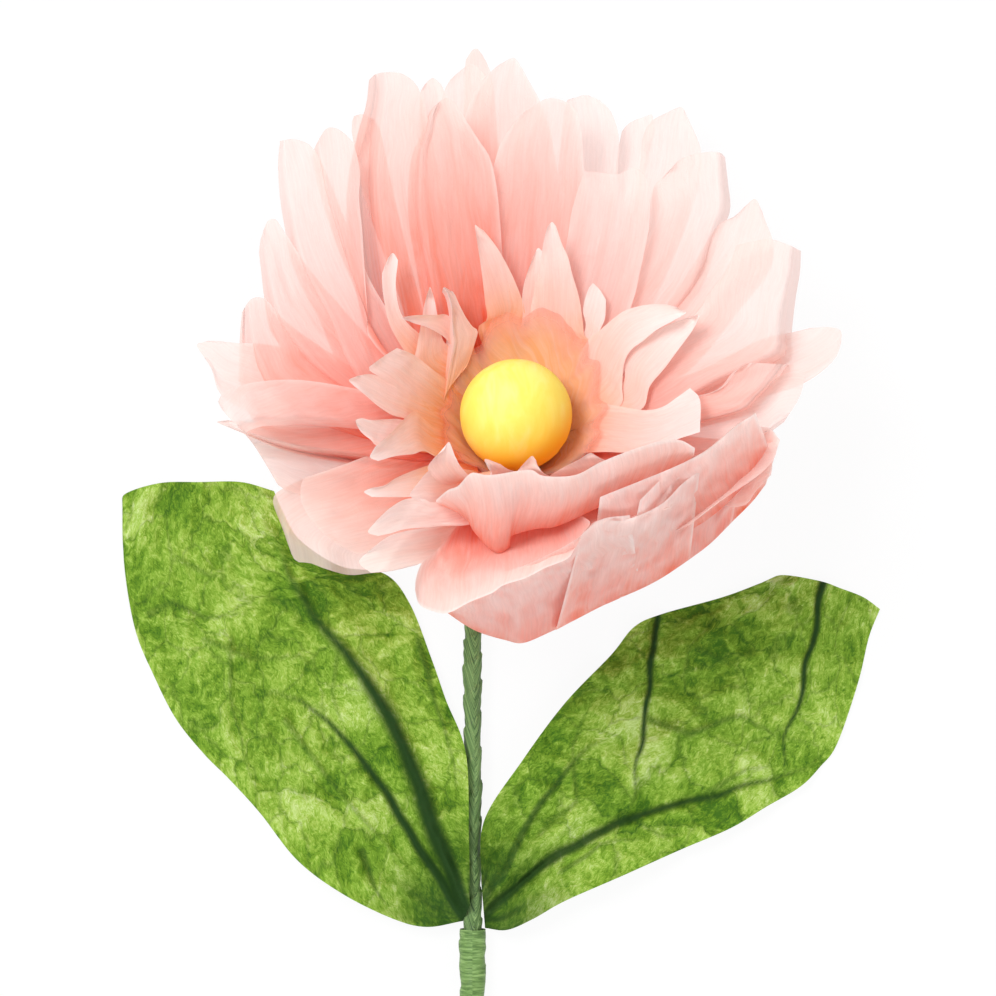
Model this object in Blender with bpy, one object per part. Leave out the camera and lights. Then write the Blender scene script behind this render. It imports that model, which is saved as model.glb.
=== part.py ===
"""Paper dahlia on a taped wire stem, lying on its back with the open face up.

Lengths are in metres, +Z is up, and the stem runs along -Y from the flower's head.
The head is a covered ball inside a yellow collar, two fringed strips and layers of
long petals. Every sheet follows one of a family of nested funnels, so the layers
never cross. The leaves are pleated sheets bound to the stem with tape.
"""
import math

import bmesh
import bpy
import numpy as np
from mathutils import Vector

MM = 0.001
CLEARANCE = 0.3 * MM

# Paper
PETAL_PAPER = 0.22 * MM
LEAF_PAPER = 0.3 * MM
LAYER_GAP = 0.28 * MM
LAYER_PITCH = PETAL_PAPER + LAYER_GAP

# Wire stem, its tape and the thicker tape over the leaf joint
WIRE_RADIUS = 1.5 * MM
STEM_TAPE_WALL = 1.0 * MM
STEM_RADIUS = WIRE_RADIUS + CLEARANCE + STEM_TAPE_WALL
STEM_STRAIGHT = 92.0 * MM
STEM_RISE = 1.5 * MM
STEM_TOP_PULL = 24.0 * MM
STEM_LOW_PULL = 28.8 * MM
STEM_BELOW_LEAVES = 74.0 * MM
JOINT_TAPE_WALL = 0.8 * MM
JOINT_TAPE_END_WALL = 0.4 * MM
JOINT_TAPE_CAP = 1.0 * MM
JOINT_TAPE_RADIUS = STEM_RADIUS + CLEARANCE + JOINT_TAPE_WALL
JOINT_TAPE_END_RADIUS = STEM_RADIUS + CLEARANCE + JOINT_TAPE_END_WALL

# Centre ball, pushed onto the end of the wire
BALL_DIAMETER = 32.0 * MM
BALL_ABOVE_BASE = 12.0 * MM
BALL_HEIGHT = BALL_ABOVE_BASE + 0.5 * BALL_DIAMETER
BALL_SOCKET_DEPTH = 9.0 * MM

# Where the head's base sits, from the leaf joint, and how its axis leans
HEAD_RIGHT_OF_STEM = 10.5 * MM
HEAD_ABOVE_LEAVES = 135.8 * MM
HEAD_BASE_HEIGHT = 20.5 * MM
HEAD_TILT = math.radians(27.0)
HEAD_TURN = math.radians(4.0)

# Sheets gathered round the wire: the innermost one's distance from the wire, and the
# widest that one petal may be at its base
SHEET_TO_WIRE = 0.9 * MM
INNERMOST_RADIUS = WIRE_RADIUS + SHEET_TO_WIRE
BASE_HALF_WIDTH = 4.6 * MM
BASE_HALF_ANGLE = math.radians(20.0)

# Tape cup that binds the sheets to the wire
BINDING_HEIGHT = 8.0 * MM
BINDING_LIP = 2.0 * MM
BINDING_LIP_FLARE = math.radians(34.0)
BINDING_WALL = 0.5 * MM
BINDING_SEAT_DEPTH = 0.6 * MM

# One unit of every length in the head's tables, and one unit of the leaf outlines
HEAD_UNIT = 1.0 * MM
LEAF_UNIT = 1.0 * MM

# How far each sheet leans out from the head's axis, in degrees, at five distances
# along the sheet, for eight directions round the head starting at +X
LEAN_STATIONS = np.array([0.0, 20.0, 50.0, 80.0, 115.0]) * HEAD_UNIT
COLLAR_DEPTH, FRONT_DEPTH, BACK_DEPTH = 0.0, 3.0, 12.0
COLLAR_LEAN = [[20, 44, 44, 44, 44], [20, 44, 46, 46, 46], [20, 42, 46, 48, 48], [20, 42, 46, 48, 48],
               [20, 42, 46, 48, 48], [20, 42, 34, 30, 30], [20, 42, 14, 8, 8], [20, 42, 22, 18, 18]]
FRONT_LEAN = [[20, 50, 58, 54, 46], [20, 50, 56, 58, 56], [20, 50, 54, 58, 58], [20, 50, 56, 60, 60],
              [20, 50, 60, 62, 60], [20, 51, 54, 38, 32], [20, 46, 32, 4, 4], [20, 62, 38, 6, 8]]
BACK_LEAN = [[20, 62, 68, 66, 58], [20, 62, 69, 74, 82], [20, 63, 72, 82, 96], [20, 62, 71, 76, 84],
             [20, 64, 74, 74, 72], [20, 74, 66, 46, 38], [20, 98, 66, 8, 4], [20, 98, 60, 8, 14]]

# Each long petal: direction round the head in degrees from +X, length and half width,
# layer counted from the front, how far the tip's corners fall short as a share of the
# length, how blunt the tip is, its slant, and how far the petal sways, in degrees
PETALS = [
    (-4, 97, 15.0, 0, 0.08, 2.4, 0.05, 0),
    (60, 90, 14.5, 0, 0.04, 3.5, -0.02, 8),
    (113, 102, 13.0, 0, 0.13, 1.5, 0.00, -6),
    (8, 100, 16.0, 1, 0.04, 3.5, 0.03, 18),
    (87, 102, 14.5, 1, 0.09, 2.4, 0.00, -4),
    (250, 84, 16.0, 1, 0.10, 2.0, 0.00, -4),
    (320, 88, 17.0, 1, 0.08, 2.4, 0.04, 6),
    (41, 101, 14.0, 2, 0.08, 2.6, -0.03, 14),
    (126, 113, 13.5, 2, 0.05, 3.0, -0.02, -12),
    (190, 88, 18.0, 2, 0.06, 3.0, 0.05, 0),
    (284, 86, 18.0, 2, 0.08, 2.2, 0.06, 8),
    (22, 102, 13.0, 3, 0.12, 1.6, 0.00, 18),
    (92, 112, 14.0, 3, 0.13, 1.5, 0.00, 0),
    (144, 106, 13.5, 3, 0.09, 2.2, 0.00, -16),
    (340, 94, 16.0, 3, 0.08, 2.4, 0.00, 8),
    (154, 108, 13.5, 4, 0.04, 3.2, -0.05, -22),
    (303, 86, 19.0, 4, 0.08, 2.4, 0.03, 0),
    (98, 110, 12.5, 5, 0.09, 2.0, 0.00, 0),
    (166, 97, 14.0, 5, 0.09, 2.2, 0.00, -20),
    (217, 88, 17.0, 5, 0.08, 2.4, -0.03, 0),
    (262, 88, 19.0, 5, 0.08, 2.4, 0.00, 0),
    (334, 92, 18.0, 5, 0.08, 2.4, 0.00, 0),
    (10, 102, 14.0, 6, 0.12, 1.8, 0.03, 2),
    (66, 101, 14.0, 6, 0.09, 2.4, 0.00, 6),
    (176, 87, 14.5, 6, 0.08, 2.4, 0.00, -16),
    (304, 94, 19.0, 6, 0.08, 2.4, 0.00, 0),
    (46, 108, 13.5, 7, 0.09, 2.4, 0.00, 14),
    (112, 111, 12.5, 7, 0.09, 2.4, 0.00, -6),
    (180, 98, 14.0, 7, 0.16, 1.5, -0.03, -6),
    (240, 70, 17.0, 7, 0.08, 2.4, 0.00, 0),
    (342, 92, 15.0, 7, 0.10, 2.0, 0.00, 0),
    (58, 107, 11.5, 8, 0.12, 2.0, 0.00, 10),
    (130, 107, 11.5, 8, 0.08, 2.4, 0.00, -10),
    (192, 85, 13.0, 8, 0.16, 1.5, 0.00, 0),
    (318, 92, 18.0, 8, 0.09, 2.2, 0.00, 0),
    (100, 117, 11.0, 9, 0.13, 1.6, 0.00, -2),
    (214, 72, 15.0, 9, 0.08, 2.4, 0.00, 0),
    (276, 92, 23.0, 9, 0.14, 2.0, 0.03, 0),
    (330, 90, 15.0, 9, 0.09, 2.2, 0.00, 0),
]
LONGEST_SHEET = max(length * (1 + abs(slant)) for _, length, _, _, _, _, slant, _ in PETALS) * HEAD_UNIT

# Fringed strips: how far up the strip the cuts between its teeth end, then each tooth's
# direction in degrees, length, how far it sways in degrees and how blunt it is
COLLAR_CUT = 36.0
COLLAR_TEETH = [(0, 40, 0, 1.6), (30, 42, 0, 1.6), (60, 46, 0, 1.6), (90, 47, 0, 1.6), (120, 43, 0, 1.6),
                (150, 40, 0, 1.6), (185, 38, 0, 1.6), (225, 38, 0, 1.4), (270, 38, 0, 1.4),
                (320, 38, 0, 1.4)]
INNER_CUT = 38.0
INNER_TEETH = [(30, 68, -4, 1.6), (78, 69, 4, 1.3), (103, 68, 4, 1.2), (123, 55, 0, 1.3), (145, 56, 4, 1.2),
               (163, 52, 0, 1.3), (185, 48, 0, 1.4), (210, 46, 0, 1.4), (232, 45, 0, 1.4),
               (252, 48, 0, 1.3), (290, 48, 0, 1.3), (322, 47, 0, 1.4), (350, 72, -4, 1.8)]
OUTER_CUT = 40.0
OUTER_TEETH = [(0, 66, 0, 1.5), (20, 70, 4, 1.5), (45, 62, 0, 1.4), (70, 66, 4, 1.3), (92, 56, 0, 1.4),
               (112, 58, 0, 1.3), (130, 66, 0, 1.3), (155, 58, 0, 1.4), (177, 62, 2, 1.5),
               (192, 61, 0, 1.4), (206, 59, 0, 1.3), (221, 68, 0, 1.4), (240, 68, 0, 1.5),
               (266, 68, 0, 1.8), (300, 64, 4, 1.6), (330, 66, 0, 1.6)]

# Leaf outlines from the leaf joint, right and up, from the joint to the leaf's end;
# the inner edges start beside the stem
LEFT_OUTER = [(-9, 1.5), (-24, 1), (-39, 9), (-52, 18), (-63, 32), (-79, 50), (-94, 72), (-100, 86),
              (-103, 106), (-102, 127)]
LEFT_INNER = [(-4, 52), (-12, 79), (-19, 95), (-27, 104), (-43, 118), (-58, 128)]
LEFT_END_BULGE = 3.0 * MM
RIGHT_OUTER = [(9, 0), (25, 6), (42, 13), (59, 21), (75, 29), (86, 35), (95, 41), (101, 47), (106, 55),
               (112, 74), (117, 93)]
RIGHT_INNER = [(13, 49), (26, 66), (39, 80), (46, 88), (54, 92), (72, 97), (89, 103)]
RIGHT_END_BULGE = 3.0 * MM
LEAF_PLEAT_HEIGHT = 3.0 * MM
LEAF_CUP_HEIGHT = 9.0 * MM


# Leaves: where the fold runs across each one, the fold's width as a share of the leaf,
# how far round the stem each base wraps in degrees, and where a leaf leaves the stem
LEFT_PLEAT, RIGHT_PLEAT = 0.7, 0.5
LEFT_WRAP, RIGHT_WRAP = (215, 100), (-35, 80)
LEAF_PLEAT_WIDTH = 0.09
LEAF_STEM_GAP = 0.8 * MM
LEAF_FROM_STEM = (9.0 * MM, 30.0 * MM)
LEAF_FLAT_FROM = 0.5
LEAF_HUG_TO = 0.12

# Rows of points along each sheet: shared ones near the base, where the sheets lie close,
# then evenly spaced ones up to the sheet's own edge
BASE_ROWS = np.array([0.0, 7.0, 16.0, 28.0]) * HEAD_UNIT
PETAL_UPPER_ROWS = 4
PETAL_COLUMNS = 5
PETAL_WIDEST = 0.7
PETAL_TIP_WIDTH = 0.86
STRIP_UPPER_ROWS = 2
STRIP_SEAM = math.radians(2.0)
TOOTH_COLUMNS = 4
TOOTH_SWAY_REACH = 20.0 * MM
COLLAR_COLUMNS = 2
LEAF_ROWS = 13
LEAF_COLUMNS = 9
TUBE_SIDES = 12
BINDING_SIDES = 24
BEND_POINTS = 10


def material(name, colour, roughness):
    made = bpy.data.materials.new(name)
    made.use_nodes = True
    shader = made.node_tree.nodes["Principled BSDF"]
    shader.inputs["Base Color"].default_value = (*colour, 1.0)
    shader.inputs["Roughness"].default_value = roughness
    return made


def add_object(name, vertices, faces, paint):
    mesh = bpy.data.meshes.new(name)
    mesh.from_pydata([tuple(v) for v in vertices], [], faces)
    mesh.update()
    mesh.shade_smooth()
    thing = bpy.data.objects.new(name, mesh)
    thing.data.materials.append(paint)
    bpy.context.scene.collection.objects.link(thing)
    return thing


def smooth_step(x):
    x = np.clip(x, 0.0, 1.0)
    return x * x * (3.0 - 2.0 * x)


def round_blend(rows, turn):
    """Smooth closed curve through rows, one row for each equal share of a turn."""
    rows = np.asarray(rows, dtype=float)
    place = (np.asarray(turn) / (2 * math.pi) % 1.0) * len(rows)
    whole = np.floor(place).astype(int)
    f = (place - whole)[..., None]
    before, here, after, beyond = (rows[(whole + k) % len(rows)] for k in (-1, 0, 1, 2))
    return here + 0.5 * f * (after - before + f * (2 * before - 5 * here + 4 * after - beyond
                                                   + f * (3 * (here - after) + beyond - before)))


class Funnel:
    """One of the nested surfaces that the sheets follow, given by its depth in the head."""

    STEPS = 125
    TURNS = 72

    def __init__(self, depth):
        distance = np.linspace(0.0, LONGEST_SHEET, self.STEPS + 1)
        self.step = distance[1]
        turn = np.linspace(0.0, 2 * math.pi, self.TURNS, endpoint=False)
        inner, front, back = (round_blend(t, turn) for t in (COLLAR_LEAN, FRONT_LEAN, BACK_LEAN))
        if depth < FRONT_DEPTH:
            share = (depth - COLLAR_DEPTH) / (FRONT_DEPTH - COLLAR_DEPTH)
            rows = inner + share * (front - inner)
        else:
            share = (depth - FRONT_DEPTH) / (BACK_DEPTH - FRONT_DEPTH)
            rows = front + share * (back - front)
        lean = np.radians([np.interp(distance, LEAN_STATIONS, row) for row in rows])
        self.radius = INNERMOST_RADIUS + depth * LAYER_PITCH + self.add_up(np.sin(lean))
        self.height = self.add_up(np.cos(lean))

    def add_up(self, slope):
        middle = 0.5 * (slope[:, 1:] + slope[:, :-1]) * self.step
        return np.hstack([np.zeros((len(slope), 1)), np.cumsum(middle, axis=1)])

    def read(self, table, turn, distance):
        a = (turn / (2 * math.pi) % 1.0) * self.TURNS
        d = distance / self.step
        a0, d0 = np.floor(a).astype(int) % self.TURNS, np.clip(np.floor(d).astype(int), 0, self.STEPS - 1)
        fa, fd = a - np.floor(a), d - d0
        a1 = (a0 + 1) % self.TURNS
        near = table[a0, d0] * (1 - fd) + table[a0, d0 + 1] * fd
        far = table[a1, d0] * (1 - fd) + table[a1, d0 + 1] * fd
        return near * (1 - fa) + far * fa

    def at(self, turn, distance):
        turn, distance = np.broadcast_arrays(np.asarray(turn, float), np.asarray(distance, float))
        r = self.read(self.radius, turn, distance)
        h = self.read(self.height, turn, distance)
        return head_point(r * np.cos(turn), r * np.sin(turn), h)


def head_axes():
    up = np.array([math.sin(HEAD_TURN), math.sin(HEAD_TILT), math.cos(HEAD_TILT)])
    up /= np.linalg.norm(up)
    right = np.array([1.0, 0.0, 0.0]) - up[0] * up
    right /= np.linalg.norm(right)
    return right, np.cross(up, right), up


def head_base():
    return np.array([HEAD_RIGHT_OF_STEM, HEAD_ABOVE_LEAVES, HEAD_BASE_HEIGHT])


def head_point(across, along, out):
    """A point in the head: across and along lie in its face, out runs up its axis."""
    right, up_face, axis = head_axes()
    return (head_base() + np.multiply.outer(across, right) + np.multiply.outer(along, up_face)
            + np.multiply.outer(out, axis))


def sheet_normals(points):
    along = np.gradient(points, axis=0)
    across = np.gradient(points, axis=1)
    normals = np.cross(across, along)
    return normals / np.maximum(np.linalg.norm(normals, axis=-1, keepdims=True), 1e-12)


def sheet_faces(rows, columns):
    """Faces of a closed thin solid: a front grid, a back grid and the rim between."""
    size = rows * columns
    faces = []
    for i in range(rows - 1):
        for j in range(columns - 1):
            a, b = i * columns + j, i * columns + j + 1
            c, d = b + columns, a + columns
            faces.append((a, b, c, d))
            faces.append((size + a, size + d, size + c, size + b))
    border = [(0, j) for j in range(columns)]
    border += [(i, columns - 1) for i in range(1, rows)]
    border += [(rows - 1, j) for j in range(columns - 2, -1, -1)]
    border += [(i, 0) for i in range(rows - 2, 0, -1)]
    for k, (i, j) in enumerate(border):
        m, n = border[(k + 1) % len(border)]
        a, b = i * columns + j, m * columns + n
        faces.append((a, size + a, size + b, b))
    return faces


def add_sheet(name, points, thickness, paint):
    """Give a grid of points its thickness and make it an object."""
    offset = 0.5 * thickness * sheet_normals(points)
    rows, columns = points.shape[:2]
    vertices = np.concatenate([(points + offset).reshape(-1, 3), (points - offset).reshape(-1, 3)])
    return add_object(name, vertices, sheet_faces(rows, columns), paint)


def petal_width(share, half_width):
    """Half width at a share of the length: narrow base, widest past the middle."""
    grow = np.sin(0.5 * math.pi * np.clip(share / PETAL_WIDEST, 0, 1))
    shrink = smooth_step((share - PETAL_WIDEST) / (1 - PETAL_WIDEST)) * (1 - PETAL_TIP_WIDTH)
    return (BASE_HALF_WIDTH + (half_width - BASE_HALF_WIDTH) * grow) * (1 - shrink)


def row_distances(top, upper_rows):
    """Distance of every row along a sheet: shared rows near the base, then up to its edge."""
    top = np.atleast_1d(top)[None, :]
    share = np.linspace(0, 1, upper_rows + 1)[1:, None]
    lower = np.repeat(BASE_ROWS[:, None], top.shape[1], axis=1)
    return np.vstack([lower, BASE_ROWS[-1] + share * (top - BASE_ROWS[-1])])


def petal_points(petal):
    turn, length, half_width, layer, tip, blunt, slant, sway = petal
    funnel = Funnel(FRONT_DEPTH + layer)
    side = np.linspace(-1, 1, PETAL_COLUMNS)
    top = length * HEAD_UNIT * (1 + slant * side - tip * np.abs(side) ** blunt)
    middle_distance = row_distances(length * HEAD_UNIT, PETAL_UPPER_ROWS)
    share = middle_distance / middle_distance[-1]
    start = np.radians(turn)
    middle = funnel.read(funnel.radius, start + 0 * share, middle_distance)
    spread = side * np.minimum(petal_width(share, half_width * HEAD_UNIT) / middle, BASE_HALF_ANGLE)
    turn = start + spread + np.radians(sway) * share ** 2
    return funnel.at(turn, row_distances(top, PETAL_UPPER_ROWS))


def make_petals(paint):
    for number, petal in enumerate(PETALS, start=1):
        add_sheet(f"petal_{number:02d}", petal_points(petal), PETAL_PAPER, paint)


def strip_points(depth, cut, teeth, columns):
    """A strip wound once round the axis, its upper edge cut into teeth."""
    funnel = Funnel(depth)
    centres = np.array([tooth[0] for tooth in teeth], dtype=float)
    before = 0.5 * (centres + np.roll(centres, 1) - 360.0 * (np.arange(len(teeth)) == 0))
    after = np.roll(before, -1) + 360.0 * (np.arange(len(teeth)) == len(teeth) - 1)
    turn, top, sway = [], [], []
    for (centre, length, swing, blunt), first, last in zip(teeth, before, after):
        for k in range(columns):
            side = -1 + 2 * k / columns
            half = (centre - first) if side < 0 else (last - centre)
            turn.append(centre + side * half)
            top.append(cut + (length - cut) * (1 - abs(side) ** blunt))
            sway.append(swing)
    turn.append(turn[0] + 360.0)
    top.append(top[0])
    sway.append(sway[0])
    turn = np.radians(turn)
    turn[0] += 0.5 * STRIP_SEAM
    turn[-1] -= 0.5 * STRIP_SEAM
    top, sway = np.array(top) * HEAD_UNIT, np.radians(sway)
    distance = row_distances(top, STRIP_UPPER_ROWS)
    past_cut = np.clip((distance - cut * HEAD_UNIT) / TOOTH_SWAY_REACH, 0, None)
    return funnel.at(turn + sway * past_cut, distance)


def make_strips(yellow, pink):
    collar = strip_points(COLLAR_DEPTH, COLLAR_CUT, COLLAR_TEETH, COLLAR_COLUMNS)
    add_sheet("yellow_collar", collar, PETAL_PAPER, yellow)
    inner = strip_points(COLLAR_DEPTH + 1, INNER_CUT, INNER_TEETH, TOOTH_COLUMNS)
    add_sheet("inner_fringe", inner, PETAL_PAPER, pink)
    outer = strip_points(COLLAR_DEPTH + 2, OUTER_CUT, OUTER_TEETH, TOOTH_COLUMNS)
    add_sheet("outer_fringe", outer, PETAL_PAPER, pink)


def turned(name, profile, sides, paint):
    """Turn a closed profile of (radius, height) points round the head's axis."""
    angle = np.linspace(0, 2 * math.pi, sides, endpoint=False)
    vertices = []
    for radius, height in profile:
        vertices.extend(head_point(radius * np.cos(angle), radius * np.sin(angle), height + 0 * angle))
    faces = []
    count = len(profile)
    for i in range(count):
        j = (i + 1) % count
        for k in range(sides):
            m = (k + 1) % sides
            faces.append((i * sides + k, i * sides + m, j * sides + m, j * sides + k))
    return add_object(name, vertices, faces, paint)


def make_binding(paint):
    """Tape wound over the gathered petal ends, tapering to the stem."""
    bore = WIRE_RADIUS + CLEARANCE
    foot = STEM_RADIUS + CLEARANCE
    inside = INNERMOST_RADIUS + BACK_DEPTH * LAYER_PITCH + 0.5 * PETAL_PAPER + CLEARANCE
    lip_inside = inside + BINDING_LIP * math.tan(BINDING_LIP_FLARE)
    outside = inside + BINDING_WALL
    profile = [(bore, -BINDING_SEAT_DEPTH), (bore, -BINDING_HEIGHT), (foot, -BINDING_HEIGHT),
               (0.5 * (outside + foot), -0.55 * BINDING_HEIGHT), (outside, -0.15 * BINDING_HEIGHT),
               (lip_inside + BINDING_WALL, BINDING_LIP), (lip_inside, BINDING_LIP),
               (inside, -BINDING_SEAT_DEPTH)]
    return turned("head_binding", profile, BINDING_SIDES, paint)


def stem_path():
    """Centre of the stem from under the head, round its bend, to the leaf joint."""
    axis = head_axes()[2]
    start = head_point(0.0, 0.0, -BINDING_HEIGHT - CLEARANCE)
    top = start - STEM_RADIUS * axis
    joint = np.array([0.0, 0.0, JOINT_TAPE_RADIUS])
    low = np.array([0.0, STEM_STRAIGHT, JOINT_TAPE_RADIUS + STEM_RISE])
    run = (joint - low) / np.linalg.norm(joint - low)
    t = np.linspace(0, 1, BEND_POINTS)[:, None]
    bend = ((2 * t**3 - 3 * t**2 + 1) * top - (t**3 - 2 * t**2 + t) * STEM_TOP_PULL * axis
            + (3 * t**2 - 2 * t**3) * low + (t**3 - t**2) * STEM_LOW_PULL * run)
    return np.vstack([[start], bend, [joint]])


def rings_along(path, radii):
    """Rings of points square to a path, turning with it without twist."""
    tangents = np.gradient(path, axis=0)
    tangents /= np.linalg.norm(tangents, axis=1, keepdims=True)
    side = np.cross(tangents[0], [1.0, 0.0, 0.0])
    angle = np.linspace(0, 2 * math.pi, TUBE_SIDES, endpoint=False)
    rings = []
    for point, tangent, radius in zip(path, tangents, radii):
        side = side - tangent * np.dot(side, tangent)
        side = side / np.linalg.norm(side)
        other = np.cross(tangent, side)
        rings.append(point + radius * (np.outer(np.cos(angle), side) + np.outer(np.sin(angle), other)))
    return np.array(rings)


def tube(name, outer, inner, paint):
    """A closed tube: outer rings down, inner rings back up, or capped if inner is None."""
    sides = outer.shape[1]
    vertices = list(outer.reshape(-1, 3))
    loops = list(range(len(outer)))
    if inner is not None:
        vertices += list(inner[::-1].reshape(-1, 3))
        loops += list(range(len(outer), len(outer) + len(inner)))
    faces = []
    for i in loops[:-1]:
        for k in range(sides):
            m = (k + 1) % sides
            faces.append((i * sides + k, i * sides + m, (i + 1) * sides + m, (i + 1) * sides + k))
    last = loops[-1]
    if inner is None:
        faces.append(tuple(range(sides))[::-1])
        faces.append(tuple(last * sides + k for k in range(sides)))
    else:
        for k in range(sides):
            m = (k + 1) % sides
            faces.append((last * sides + k, last * sides + m, m, k))
    thing = add_object(name, vertices, faces, paint)
    face_out(thing)
    return thing


def face_out(thing):
    work = bmesh.new()
    work.from_mesh(thing.data)
    bmesh.ops.recalc_face_normals(work, faces=work.faces)
    work.to_mesh(thing.data)
    work.free()


def make_stem(wire_paint, tape_paint, sheath_paint):
    path = stem_path()
    foot = np.array([[0.0, -STEM_BELOW_LEAVES, JOINT_TAPE_RADIUS]])
    tape_path = np.vstack([path, foot])
    outside = rings_along(tape_path, [STEM_RADIUS] * len(tape_path))
    inside = rings_along(tape_path, [WIRE_RADIUS + CLEARANCE] * len(tape_path))
    tube("stem_tape", outside, inside, tape_paint)

    reach = BALL_ABOVE_BASE + BALL_SOCKET_DEPTH - CLEARANCE
    wire_path = np.vstack([[head_point(0.0, 0.0, reach)], tape_path])
    tube("stem_wire", rings_along(wire_path, [WIRE_RADIUS] * len(wire_path)), None, wire_paint)

    stations = np.array([0.0, -0.3, -0.7, -1.0])
    end = STEM_BELOW_LEAVES + CLEARANCE + JOINT_TAPE_CAP
    centre = [[0.0, s * end, JOINT_TAPE_RADIUS] for s in stations]
    taper = JOINT_TAPE_RADIUS + (JOINT_TAPE_END_RADIUS - JOINT_TAPE_RADIUS) * -stations
    outer = rings_along(np.array(centre), taper)
    bore = [[0.0, 0.0, JOINT_TAPE_RADIUS], [0.0, -STEM_BELOW_LEAVES - CLEARANCE, JOINT_TAPE_RADIUS]]
    inner = rings_along(np.array(bore), [STEM_RADIUS + CLEARANCE] * 2)
    cup("leaf_joint_tape", outer, inner, sheath_paint)


def cup(name, outer, inner, paint):
    """A tube open at its first ring and closed by flat discs at its last."""
    sides = outer.shape[1]
    vertices = np.vstack([outer.reshape(-1, 3), inner.reshape(-1, 3)])
    start = len(outer) * sides
    faces = []
    for count, first in ((len(outer), 0), (len(inner), start)):
        for i in range(count - 1):
            for k in range(sides):
                m = (k + 1) % sides
                a, b = first + i * sides + k, first + i * sides + m
                faces.append((a, b, b + sides, a + sides))
    faces.append(tuple(start - sides + k for k in range(sides)))
    faces.append(tuple(len(vertices) - sides + k for k in range(sides)))
    for k in range(sides):
        m = (k + 1) % sides
        faces.append((k, m, start + m, start + k))
    thing = add_object(name, vertices, faces, paint)
    face_out(thing)


def bmesh_object(name, work):
    mesh = bpy.data.meshes.new(name)
    work.to_mesh(mesh)
    work.free()
    mesh.shade_smooth()
    thing = bpy.data.objects.new(name, mesh)
    bpy.context.scene.collection.objects.link(thing)
    return thing


def make_ball(paint):
    """The ball, drilled from below for the end of the wire."""
    turn = Vector(head_axes()[2]).to_track_quat("Z", "Y").to_euler()
    work = bmesh.new()
    bmesh.ops.create_uvsphere(work, u_segments=20, v_segments=12, radius=0.5 * BALL_DIAMETER)
    ball = bmesh_object("center_ball", work)
    ball.data.materials.append(paint)
    ball.location = head_point(0.0, 0.0, BALL_HEIGHT)
    ball.rotation_euler = turn

    bore = WIRE_RADIUS + CLEARANCE
    work = bmesh.new()
    bmesh.ops.create_cone(work, cap_ends=True, segments=TUBE_SIDES, radius1=bore, radius2=bore,
                          depth=2 * BALL_SOCKET_DEPTH)
    cutter = bmesh_object("ball_socket_cutter", work)
    cutter.location = head_point(0.0, 0.0, BALL_ABOVE_BASE)
    cutter.rotation_euler = turn
    cutter.hide_render = True
    cutter.display_type = "WIRE"
    socket = ball.modifiers.new("wire socket", "BOOLEAN")
    socket.object = cutter
    socket.operation = "DIFFERENCE"


def edge_curve(points, shares):
    """Smooth curve through an edge's points, read at shares of its length."""
    points = np.asarray(points, dtype=float) * LEAF_UNIT
    length = np.concatenate([[0], np.cumsum(np.linalg.norm(np.diff(points, axis=0), axis=1))])
    padded = np.vstack([2 * points[0] - points[1], points, 2 * points[-1] - points[-2]])
    place = np.interp(shares, length / length[-1], np.arange(len(points)))
    k = np.minimum(np.floor(place).astype(int), len(points) - 2)
    f = (place - k)[:, None]
    a, b, c, d = (padded[k + n] for n in range(4))
    return b + 0.5 * f * (c - a + f * (2 * a - 5 * b + 4 * c - d + f * (3 * (b - c) + d - a)))


def leaf_points(outer, inner, bulge, pleat, wrap):
    """A leaf between its two edges, pleated along its length and wrapped round the stem."""
    side = math.copysign(STEM_RADIUS + LEAF_STEM_GAP, outer[0][0])
    beside_stem = [(side / LEAF_UNIT, reach / LEAF_UNIT) for reach in LEAF_FROM_STEM]
    along = np.linspace(0, 1, LEAF_ROWS)[:, None]
    across = np.linspace(0, 1, LEAF_COLUMNS)[None, :]
    first = edge_curve(outer, along[:, 0])[:, None, :]
    last = edge_curve(beside_stem + inner, along[:, 0])[:, None, :]
    flat = first + (last - first) * across[..., None]
    end = last[-1, 0] - first[-1, 0]
    outward = np.array([-end[1], end[0]]) / np.linalg.norm(end)
    outward = outward * np.sign(outward[1])
    flat = flat + (bulge * along ** 6 * 4 * across * (1 - across))[..., None] * outward

    ridge = np.exp(-((across - pleat) / LEAF_PLEAT_WIDTH) ** 2) * np.sin(math.pi * along ** 0.7)
    hollow = (2 * across - 1) ** 2 * np.sin(math.pi * along ** 0.6) ** 2 * (1 - along)
    height = 0.5 * LEAF_PAPER + LEAF_PLEAT_HEIGHT * ridge + LEAF_CUP_HEIGHT * hollow
    height = height + JOINT_TAPE_RADIUS * (1 - smooth_step(along / LEAF_FLAT_FROM))
    height = height + STEM_RADIUS * across * (1 - smooth_step(along / LEAF_HUG_TO))
    points = np.concatenate([flat, height[..., None]], axis=2)

    hug = np.radians(np.linspace(*wrap, LEAF_COLUMNS))
    ring = STEM_RADIUS + CLEARANCE + LEAF_PAPER
    base = [ring * np.cos(hug), 0 * hug + 2 * CLEARANCE, JOINT_TAPE_RADIUS + ring * np.sin(hug)]
    return np.vstack([np.stack(base, axis=1)[None], points])


def make_leaves(paint):
    left = leaf_points(LEFT_OUTER, LEFT_INNER, LEFT_END_BULGE, LEFT_PLEAT, LEFT_WRAP)
    add_sheet("leaf_left", left, LEAF_PAPER, paint)
    right = leaf_points(RIGHT_OUTER, RIGHT_INNER, RIGHT_END_BULGE, RIGHT_PLEAT, RIGHT_WRAP)
    add_sheet("leaf_right", right, LEAF_PAPER, paint)


def clear_scene():
    for thing in list(bpy.data.objects):
        bpy.data.objects.remove(thing)


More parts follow.
